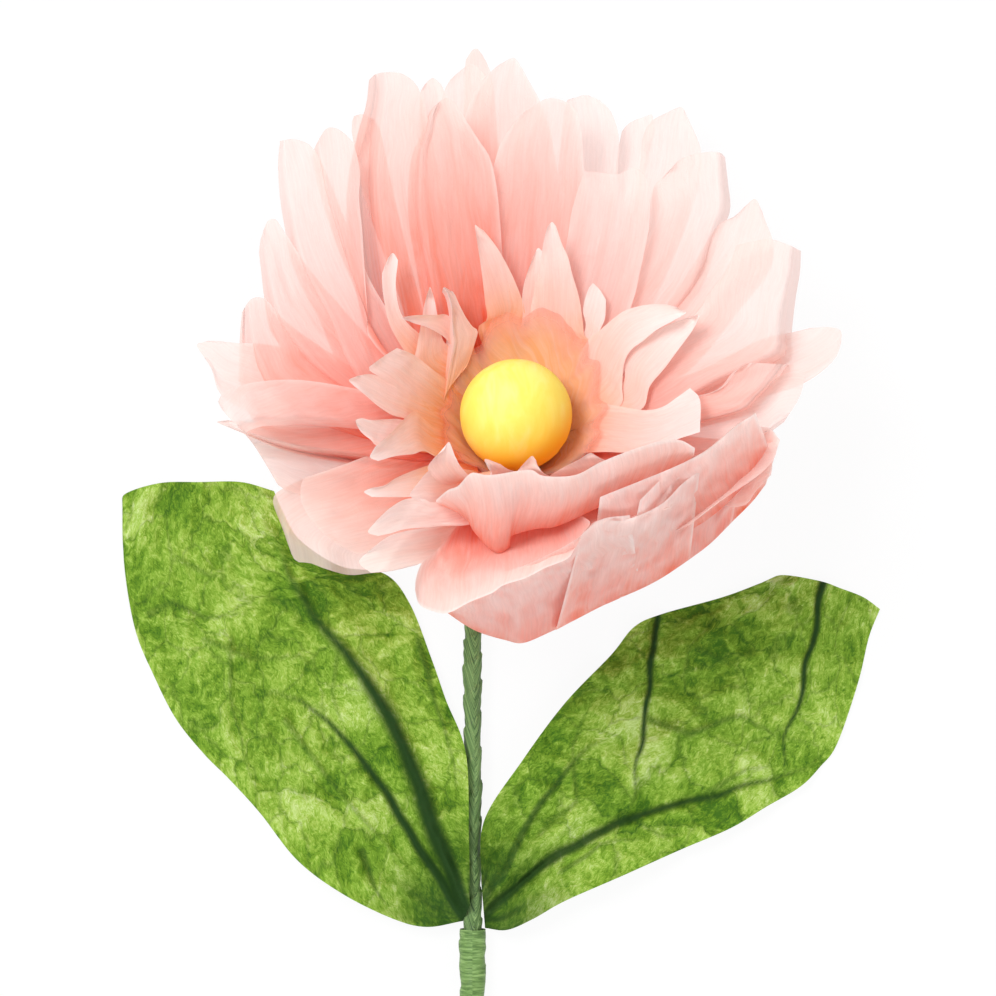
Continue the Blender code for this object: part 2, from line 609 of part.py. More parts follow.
def centre_on_floor():
    """Move the whole object so that its box stands on the floor, centred on the origin."""
    bpy.context.view_layer.update()
    corners = []
    for thing in bpy.data.objects:
        if thing.hide_render:
            continue
        world = thing.matrix_world
        corners.extend(tuple(world @ v.co) for v in thing.data.vertices)
    low, high = np.min(corners, axis=0), np.max(corners, axis=0)
    shift = -0.5 * (low + high)
    shift[2] = -low[2]
    for thing in bpy.data.objects:
        thing.location = Vector(thing.location) + Vector(shift)


def main():
    clear_scene()
    pink = material("pink_tissue_paper", (0.93, 0.45, 0.38), 0.8)
    yellow = material("yellow_tissue_paper", (0.95, 0.55, 0.2), 0.8)
    ball_paint = material("yellow_ball_paper", (0.98, 0.8, 0.1), 0.7)
    green = material("green_leaf_paper", (0.12, 0.3, 0.03), 0.8)
    tape = material("green_stem_tape", (0.06, 0.2, 0.08), 0.6)
    sheath = material("green_joint_tape", (0.12, 0.28, 0.08), 0.6)
    wire = material("galvanised_wire", (0.5, 0.5, 0.5), 0.4)
    make_ball(ball_paint)
    make_strips(yellow, pink)
    make_petals(pink)
    make_binding(tape)
    make_stem(wire, tape, sheath)
    make_leaves(green)
    centre_on_floor()


main()
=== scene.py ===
import math

import bpy
import numpy as np
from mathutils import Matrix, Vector, noise
from mathutils.bvhtree import BVHTree


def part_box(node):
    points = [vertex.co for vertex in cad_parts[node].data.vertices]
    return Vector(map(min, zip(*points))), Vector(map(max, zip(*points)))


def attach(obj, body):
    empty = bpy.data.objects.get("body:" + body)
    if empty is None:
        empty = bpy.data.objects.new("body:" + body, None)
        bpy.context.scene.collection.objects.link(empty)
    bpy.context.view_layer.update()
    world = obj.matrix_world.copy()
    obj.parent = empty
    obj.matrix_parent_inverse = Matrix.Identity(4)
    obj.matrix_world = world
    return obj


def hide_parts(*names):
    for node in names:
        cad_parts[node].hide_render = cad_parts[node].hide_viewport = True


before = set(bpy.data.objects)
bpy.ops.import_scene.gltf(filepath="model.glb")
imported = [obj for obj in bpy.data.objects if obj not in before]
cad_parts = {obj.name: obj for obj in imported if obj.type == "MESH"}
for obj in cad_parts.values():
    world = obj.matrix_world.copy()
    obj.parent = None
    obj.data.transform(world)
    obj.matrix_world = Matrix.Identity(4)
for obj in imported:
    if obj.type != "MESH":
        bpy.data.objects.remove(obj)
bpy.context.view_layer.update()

# The paper dahlia as it is made: tissue petals, fringed strips round a paper ball,
# crumpled leaf paper and wound stem tape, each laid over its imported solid.
# Lengths are in metres and colours are sRGB hex values.

MM = 0.001

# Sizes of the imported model, from the leaf joint: the head's base, how the head leans,
# the sheets' radius at the wire, and the ball
LAYER_PITCH = 0.5 * MM
INNERMOST_RADIUS = 2.4 * MM
STEM_RADIUS = 2.8 * MM
JOINT_RADIUS = 3.9 * MM
JOINT_END_RADIUS = 3.5 * MM
STEM_BELOW_LEAVES = 74 * MM
HEAD_BASE = np.array([10.5, 135.8, 20.5]) * MM
HEAD_TILT = math.radians(27)
HEAD_TURN = math.radians(4)
BALL_RADIUS = 16 * MM
BALL_HEIGHT = 28 * MM
BINDING_HEIGHT = 8 * MM
# Paper that lies on the floor stays this far above it
FLOOR_GAP = 0.4 * MM

joint_low, joint_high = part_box("leaf_joint_tape")
LEAF_JOINT = np.array([0.5 * (joint_low.x + joint_high.x), joint_high.y, joint_low.z])


# Colour and shading

def linear(code):
    """An sRGB hex value as the linear colour that shaders take."""
    parts = [int(code[i:i + 2], 16) / 255 for i in (1, 3, 5)]
    return tuple(c / 12.92 if c <= 0.04045 else ((c + 0.055) / 1.055) ** 2.4 for c in parts) + (1.0,)


def add(tree, kind, inputs=None, stops=None, **settings):
    """Add one node with its settings, its inputs' values or links, and a ramp's stops.

    What it gives back are the node's outputs.
    """
    node = tree.nodes.new("ShaderNode" + kind)
    for key, value in settings.items():
        setattr(node, key, value)
    for key, value in (inputs or {}).items():
        if isinstance(value, bpy.types.NodeSocket):
            tree.links.new(value, node.inputs[key])
        else:
            node.inputs[key].default_value = value
    if stops:
        ramp = node.color_ramp.elements
        while len(ramp) < len(stops):
            ramp.new(1.0)
        for mark, (place, code) in zip(ramp, stops):
            mark.position = place
            mark.color = linear(code)
    return node.outputs


def new_material(name):
    made = bpy.data.materials.new(name)
    made.use_nodes = True
    made.node_tree.nodes.clear()
    return made, made.node_tree


def tissue(name, stops, glow):
    """Dyed tissue paper: matte, thin enough to glow, a little deeper in colour in its gathers; painted shade
    makes it deeper still towards its base, deep in the head.

    The long fibres of the pulp run up the sheet and show as fine pale and dark streaks. Glow is
    the share of light that comes through from behind.
    """
    made, tree = new_material(name)
    place = add(tree, "UVMap", uv_map="paper")["UV"]
    reach, tone, thinness = (add(tree, "Attribute", attribute_name=mark)["Fac"]
                             for mark in ("reach", "tone", "thinness"))
    # Gathers and thick places that run up the sheet, about 3 mm wide and 25 mm long
    pulled = add(tree, "Mapping", {"Vector": place, "Scale": (340.0, 42.0, 1.0)})["Vector"]
    gathers = add(tree, "TexNoise", {"Vector": pulled, "Scale": 1.0, "Detail": 5.0, "Roughness": 0.62,
                                     "Distortion": 0.6}, noise_dimensions="2D")["Fac"]
    # Pulp streaks 0.6 mm wide and 9 mm long, drawn a little coarser than the real fibres
    drawn_out = add(tree, "Mapping", {"Vector": place, "Scale": (1700.0, 110.0, 1.0)})["Vector"]
    pulp = add(tree, "TexNoise", {"Vector": drawn_out, "Scale": 1.0, "Detail": 3.0, "Roughness": 0.6},
               noise_dimensions="2D")["Fac"]
    # Single fibres that cross each other, about 3 mm apart
    web = add(tree, "TexVoronoi", {"Vector": place, "Scale": 330.0},
              feature="DISTANCE_TO_EDGE", voronoi_dimensions="2D")["Distance"]
    hair = add(tree, "MapRange", {"Value": web, "From Min": 0.0, "From Max": 0.05,
                                  "To Min": 1.0, "To Max": 0.0})["Result"]
    # Painted shade and bounce light: the ramp on reach makes the paper deepest at its base, deep in the head
    # where the layers overlap, and palest at its tip
    dye = add(tree, "ValToRGB", {"Fac": reach}, stops=stops)["Color"]
    gathered = add(tree, "MapRange", {"Value": gathers, "From Min": 0.3, "From Max": 0.7,
                                      "To Min": 0.85, "To Max": 1.15})["Result"]
    depth = add(tree, "Math", {0: gathered, 1: tone}, operation="MULTIPLY")["Value"]
    deep = add(tree, "HueSaturation", {"Color": dye, "Saturation": depth})["Color"]
    streak = add(tree, "MapRange", {"Value": pulp, "From Min": 0.3, "From Max": 0.7,
                                    "To Min": 0.955, "To Max": 1.03})["Result"]
    colour = add(tree, "HueSaturation", {"Color": deep, "Value": streak})["Color"]
    height = add(tree, "Math", {0: pulp, 1: hair}, operation="ADD")["Value"]
    normal = add(tree, "Bump", {"Height": height, "Strength": 0.3, "Distance": 0.1 * MM})["Normal"]
    front = add(tree, "BsdfPrincipled", {"Base Color": colour, "Roughness": 0.85,
                                         "Specular IOR Level": 0.15, "Normal": normal})[0]
    behind = add(tree, "BsdfTranslucent", {"Color": colour, "Normal": normal})[0]
    sheet = add(tree, "MixShader", {0: glow, 1: front, 2: behind})[0]
    clear = add(tree, "BsdfTransparent", {"Color": linear("#FFE9E5")})[0]
    thin = add(tree, "MixShader", {0: thinness, 1: sheet, 2: clear})[0]
    add(tree, "OutputMaterial", {"Surface": thin})
    return made


def ball_paper():
    """Soft yellow paper pulled over a ball: fine wrinkles and a low satin sheen."""
    made, tree = new_material("yellow paper stretched over a ball")
    place = add(tree, "TexCoord")["Object"]
    # Stretch wrinkles about 6 mm apart and 15 mm long
    drawn_out = add(tree, "Mapping", {"Vector": place, "Scale": (170.0, 60.0, 90.0),
                                      "Rotation": (0.3, 0.4, 0.9)})["Vector"]
    wrinkle = add(tree, "TexNoise", {"Vector": drawn_out, "Scale": 1.0, "Detail": 5.0, "Roughness": 0.6,
                                     "Distortion": 0.5})["Fac"]
    # Painted shade and light: deeper yellow where the wrinkles sink, paler where they rise
    yellow = add(tree, "ValToRGB", {"Fac": wrinkle},
                 stops=[(0.25, "#FCE254"), (0.5, "#FDEC6A"), (0.75, "#FEF492")])["Color"]
    # Painted shade and reflected light: warmer amber low down, on the side away from the key lamp, where the
    # collar's orange shines on it
    low = add(tree, "Attribute", attribute_name="painted_bounce_shade")["Fac"]
    colour = add(tree, "Mix", {0: low, 6: yellow, 7: linear("#FFC414")},
                 data_type="RGBA", blend_type="MIX")[2]
    normal = add(tree, "Bump", {"Height": wrinkle, "Strength": 0.35, "Distance": 0.2 * MM})["Normal"]
    satin = add(tree, "BsdfPrincipled", {"Base Color": colour, "Roughness": 0.55,
                                         "Specular IOR Level": 0.3, "Normal": normal})[0]
    add(tree, "OutputMaterial", {"Surface": satin})
    return made


def leaf_paper():
    """Green mulberry paper, crumpled and pressed: mottled dye and pale fibres, with painted light and shade
    on its facets and painted shade in its folds and creases.
    """
    made, tree = new_material("green mulberry paper, crumpled and pressed")
    place = add(tree, "UVMap", uv_map="paper")["UV"]
    fold, patches_and_painted_relief = (add(tree, "Attribute", attribute_name=mark)["Fac"] for mark in ("fold", "patches_and_painted_relief"))
    # Crushed facets about 14 mm across, each painted a little lighter or darker as if turned to or from the
    # light, with painted shade in the creases between them
    bend = add(tree, "TexNoise", {"Vector": place, "Scale": 45.0, "Detail": 4.0},
               noise_dimensions="2D")["Color"]
    bent = add(tree, "VectorMath", {0: bend, 1: (0.022, 0.022, 0.0), 2: place},
               operation="MULTIPLY_ADD")[0]
    facet = add(tree, "TexVoronoi", {"Vector": bent, "Scale": 70.0}, voronoi_dimensions="2D")["Color"]
    edge = add(tree, "TexVoronoi", {"Vector": bent, "Scale": 70.0},
               feature="DISTANCE_TO_EDGE", voronoi_dimensions="2D")["Distance"]
    creased = add(tree, "MapRange", {"Value": edge, "From Min": 0.0, "From Max": 0.07,
                                     "To Min": 0.32, "To Max": 0.0})["Result"]
    tilt = add(tree, "MapRange", {"Value": facet, "From Min": 0.2, "From Max": 0.8,
                                  "To Min": -0.13, "To Max": 0.13})["Result"]
    # Dye gathers in spots about 3 mm across
    dye = add(tree, "TexNoise", {"Vector": place, "Scale": 330.0, "Detail": 7.0, "Roughness": 0.66,
                                 "Distortion": 0.7}, noise_dimensions="2D")["Fac"]
    # Fibres 0.6 mm wide and 1.4 mm long, felted in all directions but mostly along the leaf
    drawn_out = add(tree, "Mapping", {"Vector": place, "Scale": (1700.0, 700.0, 1.0),
                                      "Rotation": (0, 0, 0.5)})["Vector"]
    fibre = add(tree, "TexNoise", {"Vector": drawn_out, "Scale": 1.0, "Detail": 4.0, "Roughness": 0.65,
                                   "Distortion": 1.2}, noise_dimensions="2D")["Fac"]
    felt = add(tree, "Math", {0: dye, 1: fibre}, operation="ADD")["Value"]
    # Paler and deeper patches at random, with painted light on the ridges and painted shade in the hollows
    patch = add(tree, "MapRange", {"Value": patches_and_painted_relief, "To Min": -0.26, "To Max": 0.24})["Result"]
    broad = add(tree, "Math", {0: patch, 1: tilt}, operation="ADD")["Value"]
    uneven = add(tree, "Math", {0: felt, 1: broad}, operation="ADD")["Value"]
    tone = add(tree, "MapRange", {"Value": uneven, "From Min": 0.52, "From Max": 1.48})["Result"]
    mottle = add(tree, "ValToRGB", {"Fac": tone},
                 stops=[(0.05, "#3E6C0E"), (0.3, "#66901E"), (0.5, "#84AC34"), (0.72, "#A8C858"),
                        (1.0, "#CCE294")])["Color"]
    # Painted shade: the folds and the creases between the facets are darkened towards a deep green
    dark = add(tree, "Math", {0: fold, 1: creased}, operation="MAXIMUM")["Value"]
    colour = add(tree, "Mix", {0: dark, 6: mottle, 7: linear("#1E4010")},
                 data_type="RGBA", blend_type="MIX")[2]
    normal = add(tree, "Bump", {"Height": felt, "Strength": 0.6, "Distance": 0.3 * MM})["Normal"]
    front = add(tree, "BsdfPrincipled", {"Base Color": colour, "Roughness": 0.75,
                                         "Specular IOR Level": 0.25, "Normal": normal})[0]
    behind = add(tree, "BsdfTranslucent", {"Color": colour, "Normal": normal})[0]
    sheet = add(tree, "MixShader", {0: 0.12, 1: front, 2: behind})[0]
    add(tree, "OutputMaterial", {"Surface": sheet})
    return made


def wound_tape(name, pale, middle, dark):
    """Waxed crepe tape stretched as it is wound: slanting wraps, fine creases with painted shade and light, a
    dull sheen.
    """
    made, tree = new_material(name)
    place = add(tree, "UVMap", uv_map="paper")["UV"]
    # Crepe creases about 0.7 mm apart, running round the wire
    drawn_out = add(tree, "Mapping", {"Vector": place, "Scale": (160.0, 1500.0, 1.0),
                                      "Rotation": (0, 0, 0.35)})["Vector"]
    crepe = add(tree, "TexNoise", {"Vector": drawn_out, "Scale": 1.0, "Detail": 5.0, "Roughness": 0.65,
                                   "Distortion": 0.5}, noise_dimensions="2D")["Fac"]
    # Painted shade and light: the crepe's hollows take the dark colour and its ridges the pale one
    colour = add(tree, "ValToRGB", {"Fac": crepe},
                 stops=[(0.34, dark), (0.5, middle), (0.68, pale)])["Color"]
    normal = add(tree, "Bump", {"Height": crepe, "Strength": 0.6, "Distance": 0.3 * MM})["Normal"]
    waxy = add(tree, "BsdfPrincipled", {"Base Color": colour, "Roughness": 0.5,
                                        "Specular IOR Level": 0.4, "Normal": normal})[0]
    add(tree, "OutputMaterial", {"Surface": waxy})
    return made


def galvanised_wire():
    """Zinc-coated steel wire, cold drawn: dull grey with soft spangle along its length."""
    made, tree = new_material("galvanised steel wire, drawn")
    place = add(tree, "TexCoord")["Object"]
    # Zinc spangle about 2 mm across
    spangle = add(tree, "TexVoronoi", {"Vector": place, "Scale": 500.0})["Distance"]
    colour = add(tree, "ValToRGB", {"Fac": spangle}, stops=[(0.0, "#A9ACAD"), (0.6, "#8D9193")])["Color"]
    metal = add(tree, "BsdfPrincipled", {"Base Color": colour, "Metallic": 1.0, "Roughness": 0.4})[0]
    add(tree, "OutputMaterial", {"Surface": metal})
    return made


# The head's nested funnels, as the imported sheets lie

LEAN_STATIONS = np.array([0, 20, 50, 80, 115]) * MM
FRONT_DEPTH, BACK_DEPTH = 3.0, 12.0
COLLAR_LEAN = [[20, 44, 44, 44, 44], [20, 44, 46, 46, 46], [20, 42, 46, 48, 48], [20, 42, 46, 48, 48],
               [20, 42, 46, 48, 48], [20, 42, 34, 30, 30], [20, 42, 14, 8, 8], [20, 42, 22, 18, 18]]
FRONT_LEAN = [[20, 50, 58, 54, 46], [20, 50, 56, 58, 56], [20, 50, 54, 58, 58], [20, 50, 56, 60, 60],
              [20, 50, 60, 62, 60], [20, 51, 54, 38, 32], [20, 46, 32, 4, 4], [20, 62, 38, 6, 8]]
BACK_LEAN = [[20, 62, 68, 66, 58], [20, 62, 69, 74, 82], [20, 63, 72, 82, 96], [20, 62, 71, 76, 84],
             [20, 64, 74, 74, 72], [20, 74, 66, 46, 38], [20, 98, 66, 8, 4], [20, 98, 60, 8, 14]]


def smooth_step(x):
    x = np.clip(x, 0.0, 1.0)
    return x * x * (3.0 - 2.0 * x)


def round_blend(rows, turn):
    """Smooth closed curve through rows, one row for each equal share of a turn."""
    rows = np.asarray(rows, dtype=float)
    place = (np.asarray(turn) / (2 * math.pi) % 1.0) * len(rows)
    whole = np.floor(place).astype(int)
    f = (place - whole)[..., None]
    before, here, after, beyond = (rows[(whole + k) % len(rows)] for k in (-1, 0, 1, 2))
    return here + 0.5 * f * (after - before + f * (2 * before - 5 * here + 4 * after - beyond
                                                   + f * (3 * (here - after) + beyond - before)))


class Funnel:
    """One of the nested surfaces that the sheets follow, given by its depth in the head."""

    LENGTH = 125 * MM
    STEPS = 125
    TURNS = 144

    def __init__(self, depth):
        distance = np.linspace(0.0, self.LENGTH, self.STEPS + 1)
        turn = np.linspace(0.0, 2 * math.pi, self.TURNS, endpoint=False)
        inner, front, back = (round_blend(t, turn) for t in (COLLAR_LEAN, FRONT_LEAN, BACK_LEAN))
        if depth < FRONT_DEPTH:
            rows = inner + depth / FRONT_DEPTH * (front - inner)
        else:
            rows = front + (depth - FRONT_DEPTH) / (BACK_DEPTH - FRONT_DEPTH) * (back - front)
        lean = np.radians([np.interp(distance, LEAN_STATIONS, row) for row in rows])
        self.step = distance[1]
        self.radius = INNERMOST_RADIUS + depth * LAYER_PITCH + self.add_up(np.sin(lean))
        self.height = self.add_up(np.cos(lean))

    def add_up(self, slope):
        middle = 0.5 * (slope[:, 1:] + slope[:, :-1]) * self.step
        return np.hstack([np.zeros((len(slope), 1)), np.cumsum(middle, axis=1)])

    def read(self, table, turn, distance):
        a = (turn / (2 * math.pi) % 1.0) * self.TURNS
        d = distance / self.step
        a0, d0 = np.floor(a).astype(int) % self.TURNS, np.clip(np.floor(d).astype(int), 0, self.STEPS - 1)
        fa, fd = a - np.floor(a), d - d0
        a1 = (a0 + 1) % self.TURNS
        near = table[a0, d0] * (1 - fd) + table[a0, d0 + 1] * fd
        far = table[a1, d0] * (1 - fd) + table[a1, d0 + 1] * fd
        return near * (1 - fa) + far * fa

    def at(self, turn, distance):
        turn, distance = np.broadcast_arrays(np.asarray(turn, float), np.asarray(distance, float))
        r = self.read(self.radius, turn, distance)
        return head_point(r * np.cos(turn), r * np.sin(turn), self.read(self.height, turn, distance))


def head_axes():
    up = np.array([math.sin(HEAD_TURN), math.sin(HEAD_TILT), math.cos(HEAD_TILT)])
    up /= np.linalg.norm(up)
    right = np.array([1.0, 0.0, 0.0]) - up[0] * up
    right /= np.linalg.norm(right)
    return right, np.cross(up, right), up


def head_point(across, along, out):
    """A point in the head: across and along lie in its face, out runs up its axis."""
    right, up_face, axis = head_axes()
    return (LEAF_JOINT + HEAD_BASE + np.multiply.outer(across, right) + np.multiply.outer(along, up_face)
            + np.multiply.outer(out, axis))


# The camera's view, so that a piece can be drawn by its place in the photograph

FRAME_PIXELS = 996
PIXEL = 0.28 * MM
VIEW_DISTANCE = 1.1
BALL_PIXEL = np.array([516.0, 415.0])
BALL = head_point(0.0, 0.0, BALL_HEIGHT)
EYE = BALL + np.array([-18 * PIXEL, -83 * PIXEL, VIEW_DISTANCE])


def on_photo(flat, z):
    """The points at heights z (metres above the floor) under pixels of the frame."""
    size = PIXEL / VIEW_DISTANCE * (EYE[2] - np.asarray(z, float))
    half = 0.5 * FRAME_PIXELS
    return np.stack(np.broadcast_arrays(EYE[0] + (flat[..., 0] - half) * size,
                                        EYE[1] - (flat[..., 1] - half) * size, z), axis=-1)


def seen_from_ball(points):
    """Where points show in the frame, in pixels from the ball's centre."""
    size = PIXEL / VIEW_DISTANCE * (EYE[2] - points[..., 2])
    half = 0.5 * FRAME_PIXELS
    x, y = half + (points[..., 0] - EYE[0]) / size, half - (points[..., 1] - EYE[1]) / size
    return np.stack([x, y], axis=-1) - BALL_PIXEL


def travelled(points):
    """The length of the way along points up to each one."""
    return np.concatenate([[0], np.cumsum(np.linalg.norm(np.diff(points, axis=0), axis=1))])


def smooth_line(points, shares):
    """Smooth curve through points of any number of columns, read at shares of its length."""
    points = np.asarray(points, dtype=float)
    length = travelled(points)
    padded = np.vstack([2 * points[0] - points[1], points, 2 * points[-1] - points[-2]])
    place = np.interp(shares, length / length[-1], np.arange(len(points)))
    k = np.minimum(np.floor(place).astype(int), len(points) - 2)
    f = (place - k)[:, None]
    a, b, c, d = (padded[k + n] for n in range(4))
    return b + 0.5 * f * (c - a + f * (2 * a - 5 * b + 4 * c - d + f * (3 * (b - c) + d - a)))


# Sheets of paper

def sheet_normals(points):
    """Unit normals of a grid of points, rows up the sheet and columns across it."""
    normals = np.cross(np.gradient(points, axis=1), np.gradient(points, axis=0))
    return normals / np.maximum(np.linalg.norm(normals, axis=-1, keepdims=True), 1e-12)


def raised(points, height):
    """A grid's points moved towards the camera, which gives relief and keeps the drawn outline."""
    toward = EYE - points
    toward = toward / np.linalg.norm(toward, axis=-1, keepdims=True)
    facing = np.abs(np.sum(toward * sheet_normals(points), axis=-1))
    return points + (height / np.clip(facing, 0.6, 1.0))[..., None] * toward


def crumple(u, v, size, seed):
    """Smooth random height, about -1 to 1, with features of the given size."""
    flat = [noise.noise(Vector((a / size, b / size, seed * 7.31))) for a, b in zip(u.ravel(), v.ravel())]
    return np.array(flat).reshape(u.shape)


def round_noise(turn, size, level):
    """Smooth random values round a closed ring, about -1 to 1."""
    return np.array([noise.noise(Vector((size * math.cos(t), size * math.sin(t), level))) for t in turn])


def crushed(x, y, size, seed):
    """Height of crushed paper, at most 1: flat facets that meet in sharp ridges."""
    a, b = crumple(x, y, size, seed), crumple(x, y, 0.6 * size, seed + 1)
    return 1 - np.abs(2.2 * a) - 0.5 * np.abs(2.0 * b)


def sheet_places(points):
    """How far each point of a grid lies across and up the flat sheet, in metres."""
    up = np.concatenate([np.zeros((1, points.shape[1])),
                         np.cumsum(np.linalg.norm(np.diff(points, axis=0), axis=2), axis=0)])
    across = np.concatenate([np.zeros((len(points), 1)),
                             np.cumsum(np.linalg.norm(np.diff(points, axis=1), axis=2), axis=1)], axis=1)
    return across - 0.5 * across[:, -1:], up


def up_share(points):
    """How far up its sheet each point of a grid lies, from 0 at the base to 1 at the tip."""
    return np.linspace(0, 1, len(points))[:, None] + 0 * points[..., 0]


def crease(u, v, start, end, width):
    """Height of a sharp fold, 1 on the line from start to end and falling off beside it."""
    start, end = np.array(start), np.array(end)
    run = end - start
    along = ((u - start[0]) * run[0] + (v - start[1]) * run[1]) / np.dot(run, run)
    off = np.abs((u - start[0]) * run[1] - (v - start[1]) * run[0]) / np.linalg.norm(run)
    return np.clip(1 - off / width, 0, 1) * smooth_step(4 * along) * smooth_step(4 * (1 - along))


def grid_faces(rows, columns, first=0):
    return [(first + i * columns + j, first + i * columns + j + 1,
             first + (i + 1) * columns + j + 1, first + (i + 1) * columns + j)
            for i in range(rows - 1) for j in range(columns - 1)]


def lay(name, grids, paint, nodes, marks=None):
    """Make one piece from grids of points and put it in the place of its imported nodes.

    Each mark is a named value for every point, such as how near it is to the sheet's tip.
    """
    vertices, faces, places = [], [], []
    for points in grids:
        faces += grid_faces(*points.shape[:2], first=sum(len(v) for v in vertices))
        u, v = sheet_places(points)
        vertices.append(points.reshape(-1, 3))
        places.append(np.stack([u, v], axis=-1).reshape(-1, 2))
    mesh = bpy.data.meshes.new(name)
    mesh.from_pydata(np.vstack(vertices).tolist(), [], faces)
    corner = np.empty(len(mesh.loops), dtype=int)
    mesh.loops.foreach_get("vertex_index", corner)
    mesh.uv_layers.new(name="paper").data.foreach_set("uv", np.vstack(places)[corner].ravel())
    for mark, values in (marks or {}).items():
        layer = mesh.attributes.new(mark, "FLOAT", "POINT")
        layer.data.foreach_set("value", np.concatenate([v.ravel() for v in values]).astype(float))
    mesh.shade_smooth()
    mesh.materials.append(paint)
    piece = bpy.data.objects.new(name, mesh)
    bpy.context.scene.collection.objects.link(piece)
    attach(piece, "root")
    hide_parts(*nodes)


# Sheets drawn by their outlines in the photograph

# Where the petals gather at the wire, how far from there each one starts and half its width
# there, in pixels
THROAT = np.array([509.0, 461.0])
THROAT_RADIUS, HALF_GATHER = 8, 11
THROAT_HEIGHT = 24 * MM
# The heights in millimetres at which raised petals, cupped petals and front teeth start
RAISED_BASE, CUPPED_BASE, TOOTH_BASE = 26.0, 24.0, 30.0


def dots(text):
    """Points from a text such as "600,418 650,412"."""
    return [tuple(float(part) for part in point.split(",")) for point in text.split()]


def edge_sheet(left, tip, right, rows, columns):
    """A grid between two side edges, a tip edge and a straight base."""
    v, u = np.linspace(0, 1, rows), np.linspace(0, 1, columns)
    left, right = smooth_line(left + tip[:1], v)[:, None, :], smooth_line(right + tip[-1:], v)[:, None, :]
    top = smooth_line(tip, u)[None, :, :]
    v, u = v[:, None, None], u[None, :, None]
    base = left[:1] * (1 - u) + right[:1] * u
    return ((1 - v) * base + v * top + (1 - u) * left + u * right
            - (1 - u) * (1 - v) * left[:1] - u * (1 - v) * right[:1]
            - (1 - u) * v * left[-1:] - u * v * right[-1:])


def throat_corners(tip):
    """Where a petal with this tip starts at the wire, left and right."""
    run = np.mean(np.array(tip)[:, :2], axis=0) - THROAT
    run /= np.linalg.norm(run)
    side = np.array([run[1], -run[0]])
    start = THROAT + THROAT_RADIUS * run
    return tuple(start + HALF_GATHER * side), tuple(start - HALF_GATHER * side)


# Half the window in which a sheet looks for its funnel, in degrees, and how far the funnel
# goes on there for the fringe's teeth and for the front petals
HALF_WINDOW = 55
TEETH_REACH, FRONT_REACH = 78 * MM, 100 * MM
TREE_ROWS = 90
funnel_trees = {}


def funnel_tree(depth, toward=None):
    """The funnel at this depth, whole or round one direction, for finding places on it."""
    if (depth, toward) not in funnel_trees:
        funnel = Funnel(depth)
        turn, upward = np.linspace(0, 360, 181), False
        if toward is not None:
            turn = np.linspace(toward - HALF_WINDOW, toward + HALF_WINDOW, 61)
            upward = math.sin(math.radians(toward)) >= 0.3
        reach = TEETH_REACH if depth < FRONT_DEPTH else funnel.LENGTH if upward else FRONT_REACH
        points = funnel.at(np.radians(turn)[None, :], np.linspace(0, reach, TREE_ROWS)[:, None])
        funnel_trees[depth, toward] = BVHTree.FromPolygons(points.reshape(-1, 3).tolist(),
                                                           grid_faces(TREE_ROWS, len(turn)))
    return funnel_trees[depth, toward]


def onto_funnel(flat, depth):
    """Lay a grid of pixels on the funnel at this depth, on its inside as the camera sees it."""
    run = flat[-1].mean(axis=0) - THROAT
    tree = funnel_tree(depth, round(math.degrees(math.atan2(-run[1], run[0])) / 5) * 5)
    far = on_photo(flat, 0.0)
    height = np.full(far.shape[:2], np.nan)
    eye = Vector(EYE)
    for place in np.ndindex(*height.shape):
        hit = tree.ray_cast(Vector(far[place]), (eye - Vector(far[place])).normalized())[0]
        if hit is not None:
            height[place] = hit.z
    # Petals start at the throat, and teeth where their lowest rows find the funnel
    if depth >= FRONT_DEPTH:
        height[0] = THROAT_HEIGHT
    height[0] = np.where(np.isnan(height[0]), np.nanmean(height[:6]), height[0])
    # Where the line of sight passes the funnel by or jumps along it, the sheet goes on as it ran before
    rise = np.full(height.shape[1], 0.0)
    for row in range(1, len(height)):
        step = np.linalg.norm(flat[row] - flat[row - 1], axis=-1) * PIXEL
        off = np.isnan(height[row]) | (np.abs(height[row] - height[row - 1]) > 2.5 * step + 0.5 * MM)
        height[row] = np.where(off, height[row - 1] + 0.8 * rise, height[row])
        rise = np.clip(height[row] - height[row - 1], -step, step)
    return on_photo(flat, evened(height, 3))


def evened(values, times):
    """Smooth a grid a little along both of its directions."""
    for axis in (0, 1):
        for _ in range(times):
            padded = np.pad(values, [(1, 1) if n == axis else (0, 0) for n in (0, 1)], mode="edge")
            values = (padded.take(range(0, values.shape[axis]), axis) + 2 * values
                      + padded.take(range(2, values.shape[axis] + 2), axis)) / 4
    return values


def settled(flat, depth):
    """Place a grid of pixels with heights, brought nearer to the funnel at this depth."""
    tree = funnel_tree(depth)
    points = on_photo(flat, flat[..., 2] * MM)
    rise = np.array([tree.find_nearest(Vector(point))[0].z - point[2] for point in points.reshape(-1, 3)])
    rise = evened(np.clip(rise, -MOST_SETTLING, MOST_SETTLING).reshape(flat.shape[:2]), 8)
    return on_photo(flat, flat[..., 2] * MM + SETTLING * rise)


def cupped_sheet(base, belly, edge, rows, columns):
    """A sheet seen from outside: out from the base, round its belly and up to its edge."""
    u = np.linspace(0, 1, columns)
    lower = rows // 2
    base, belly, edge = (smooth_line(line, u)[None] for line in (base, belly, edge))
    t = np.linspace(0, 1, lower)[:, None, None] * 0.5 * math.pi
    out, up = np.sin(t), 1 - np.cos(t)
    s = np.linspace(0, 1, rows - lower + 1)[1:, None, None]

    def part(start, end, across, rise):
        return np.concatenate([(start + (end - start) * across)[..., :2],
                               (start + (end - start) * rise)[..., 2:]], axis=2)

    return np.concatenate([part(base, belly, out, up), part(belly, edge, s ** 1.5, s)])


# Petals

PETAL_ROWS, PETAL_COLUMNS = 48, 26
# How wide the painted highlight along a petal's cut edges is
EDGE_HIGHLIGHT_WIDTH = 1.6 * MM

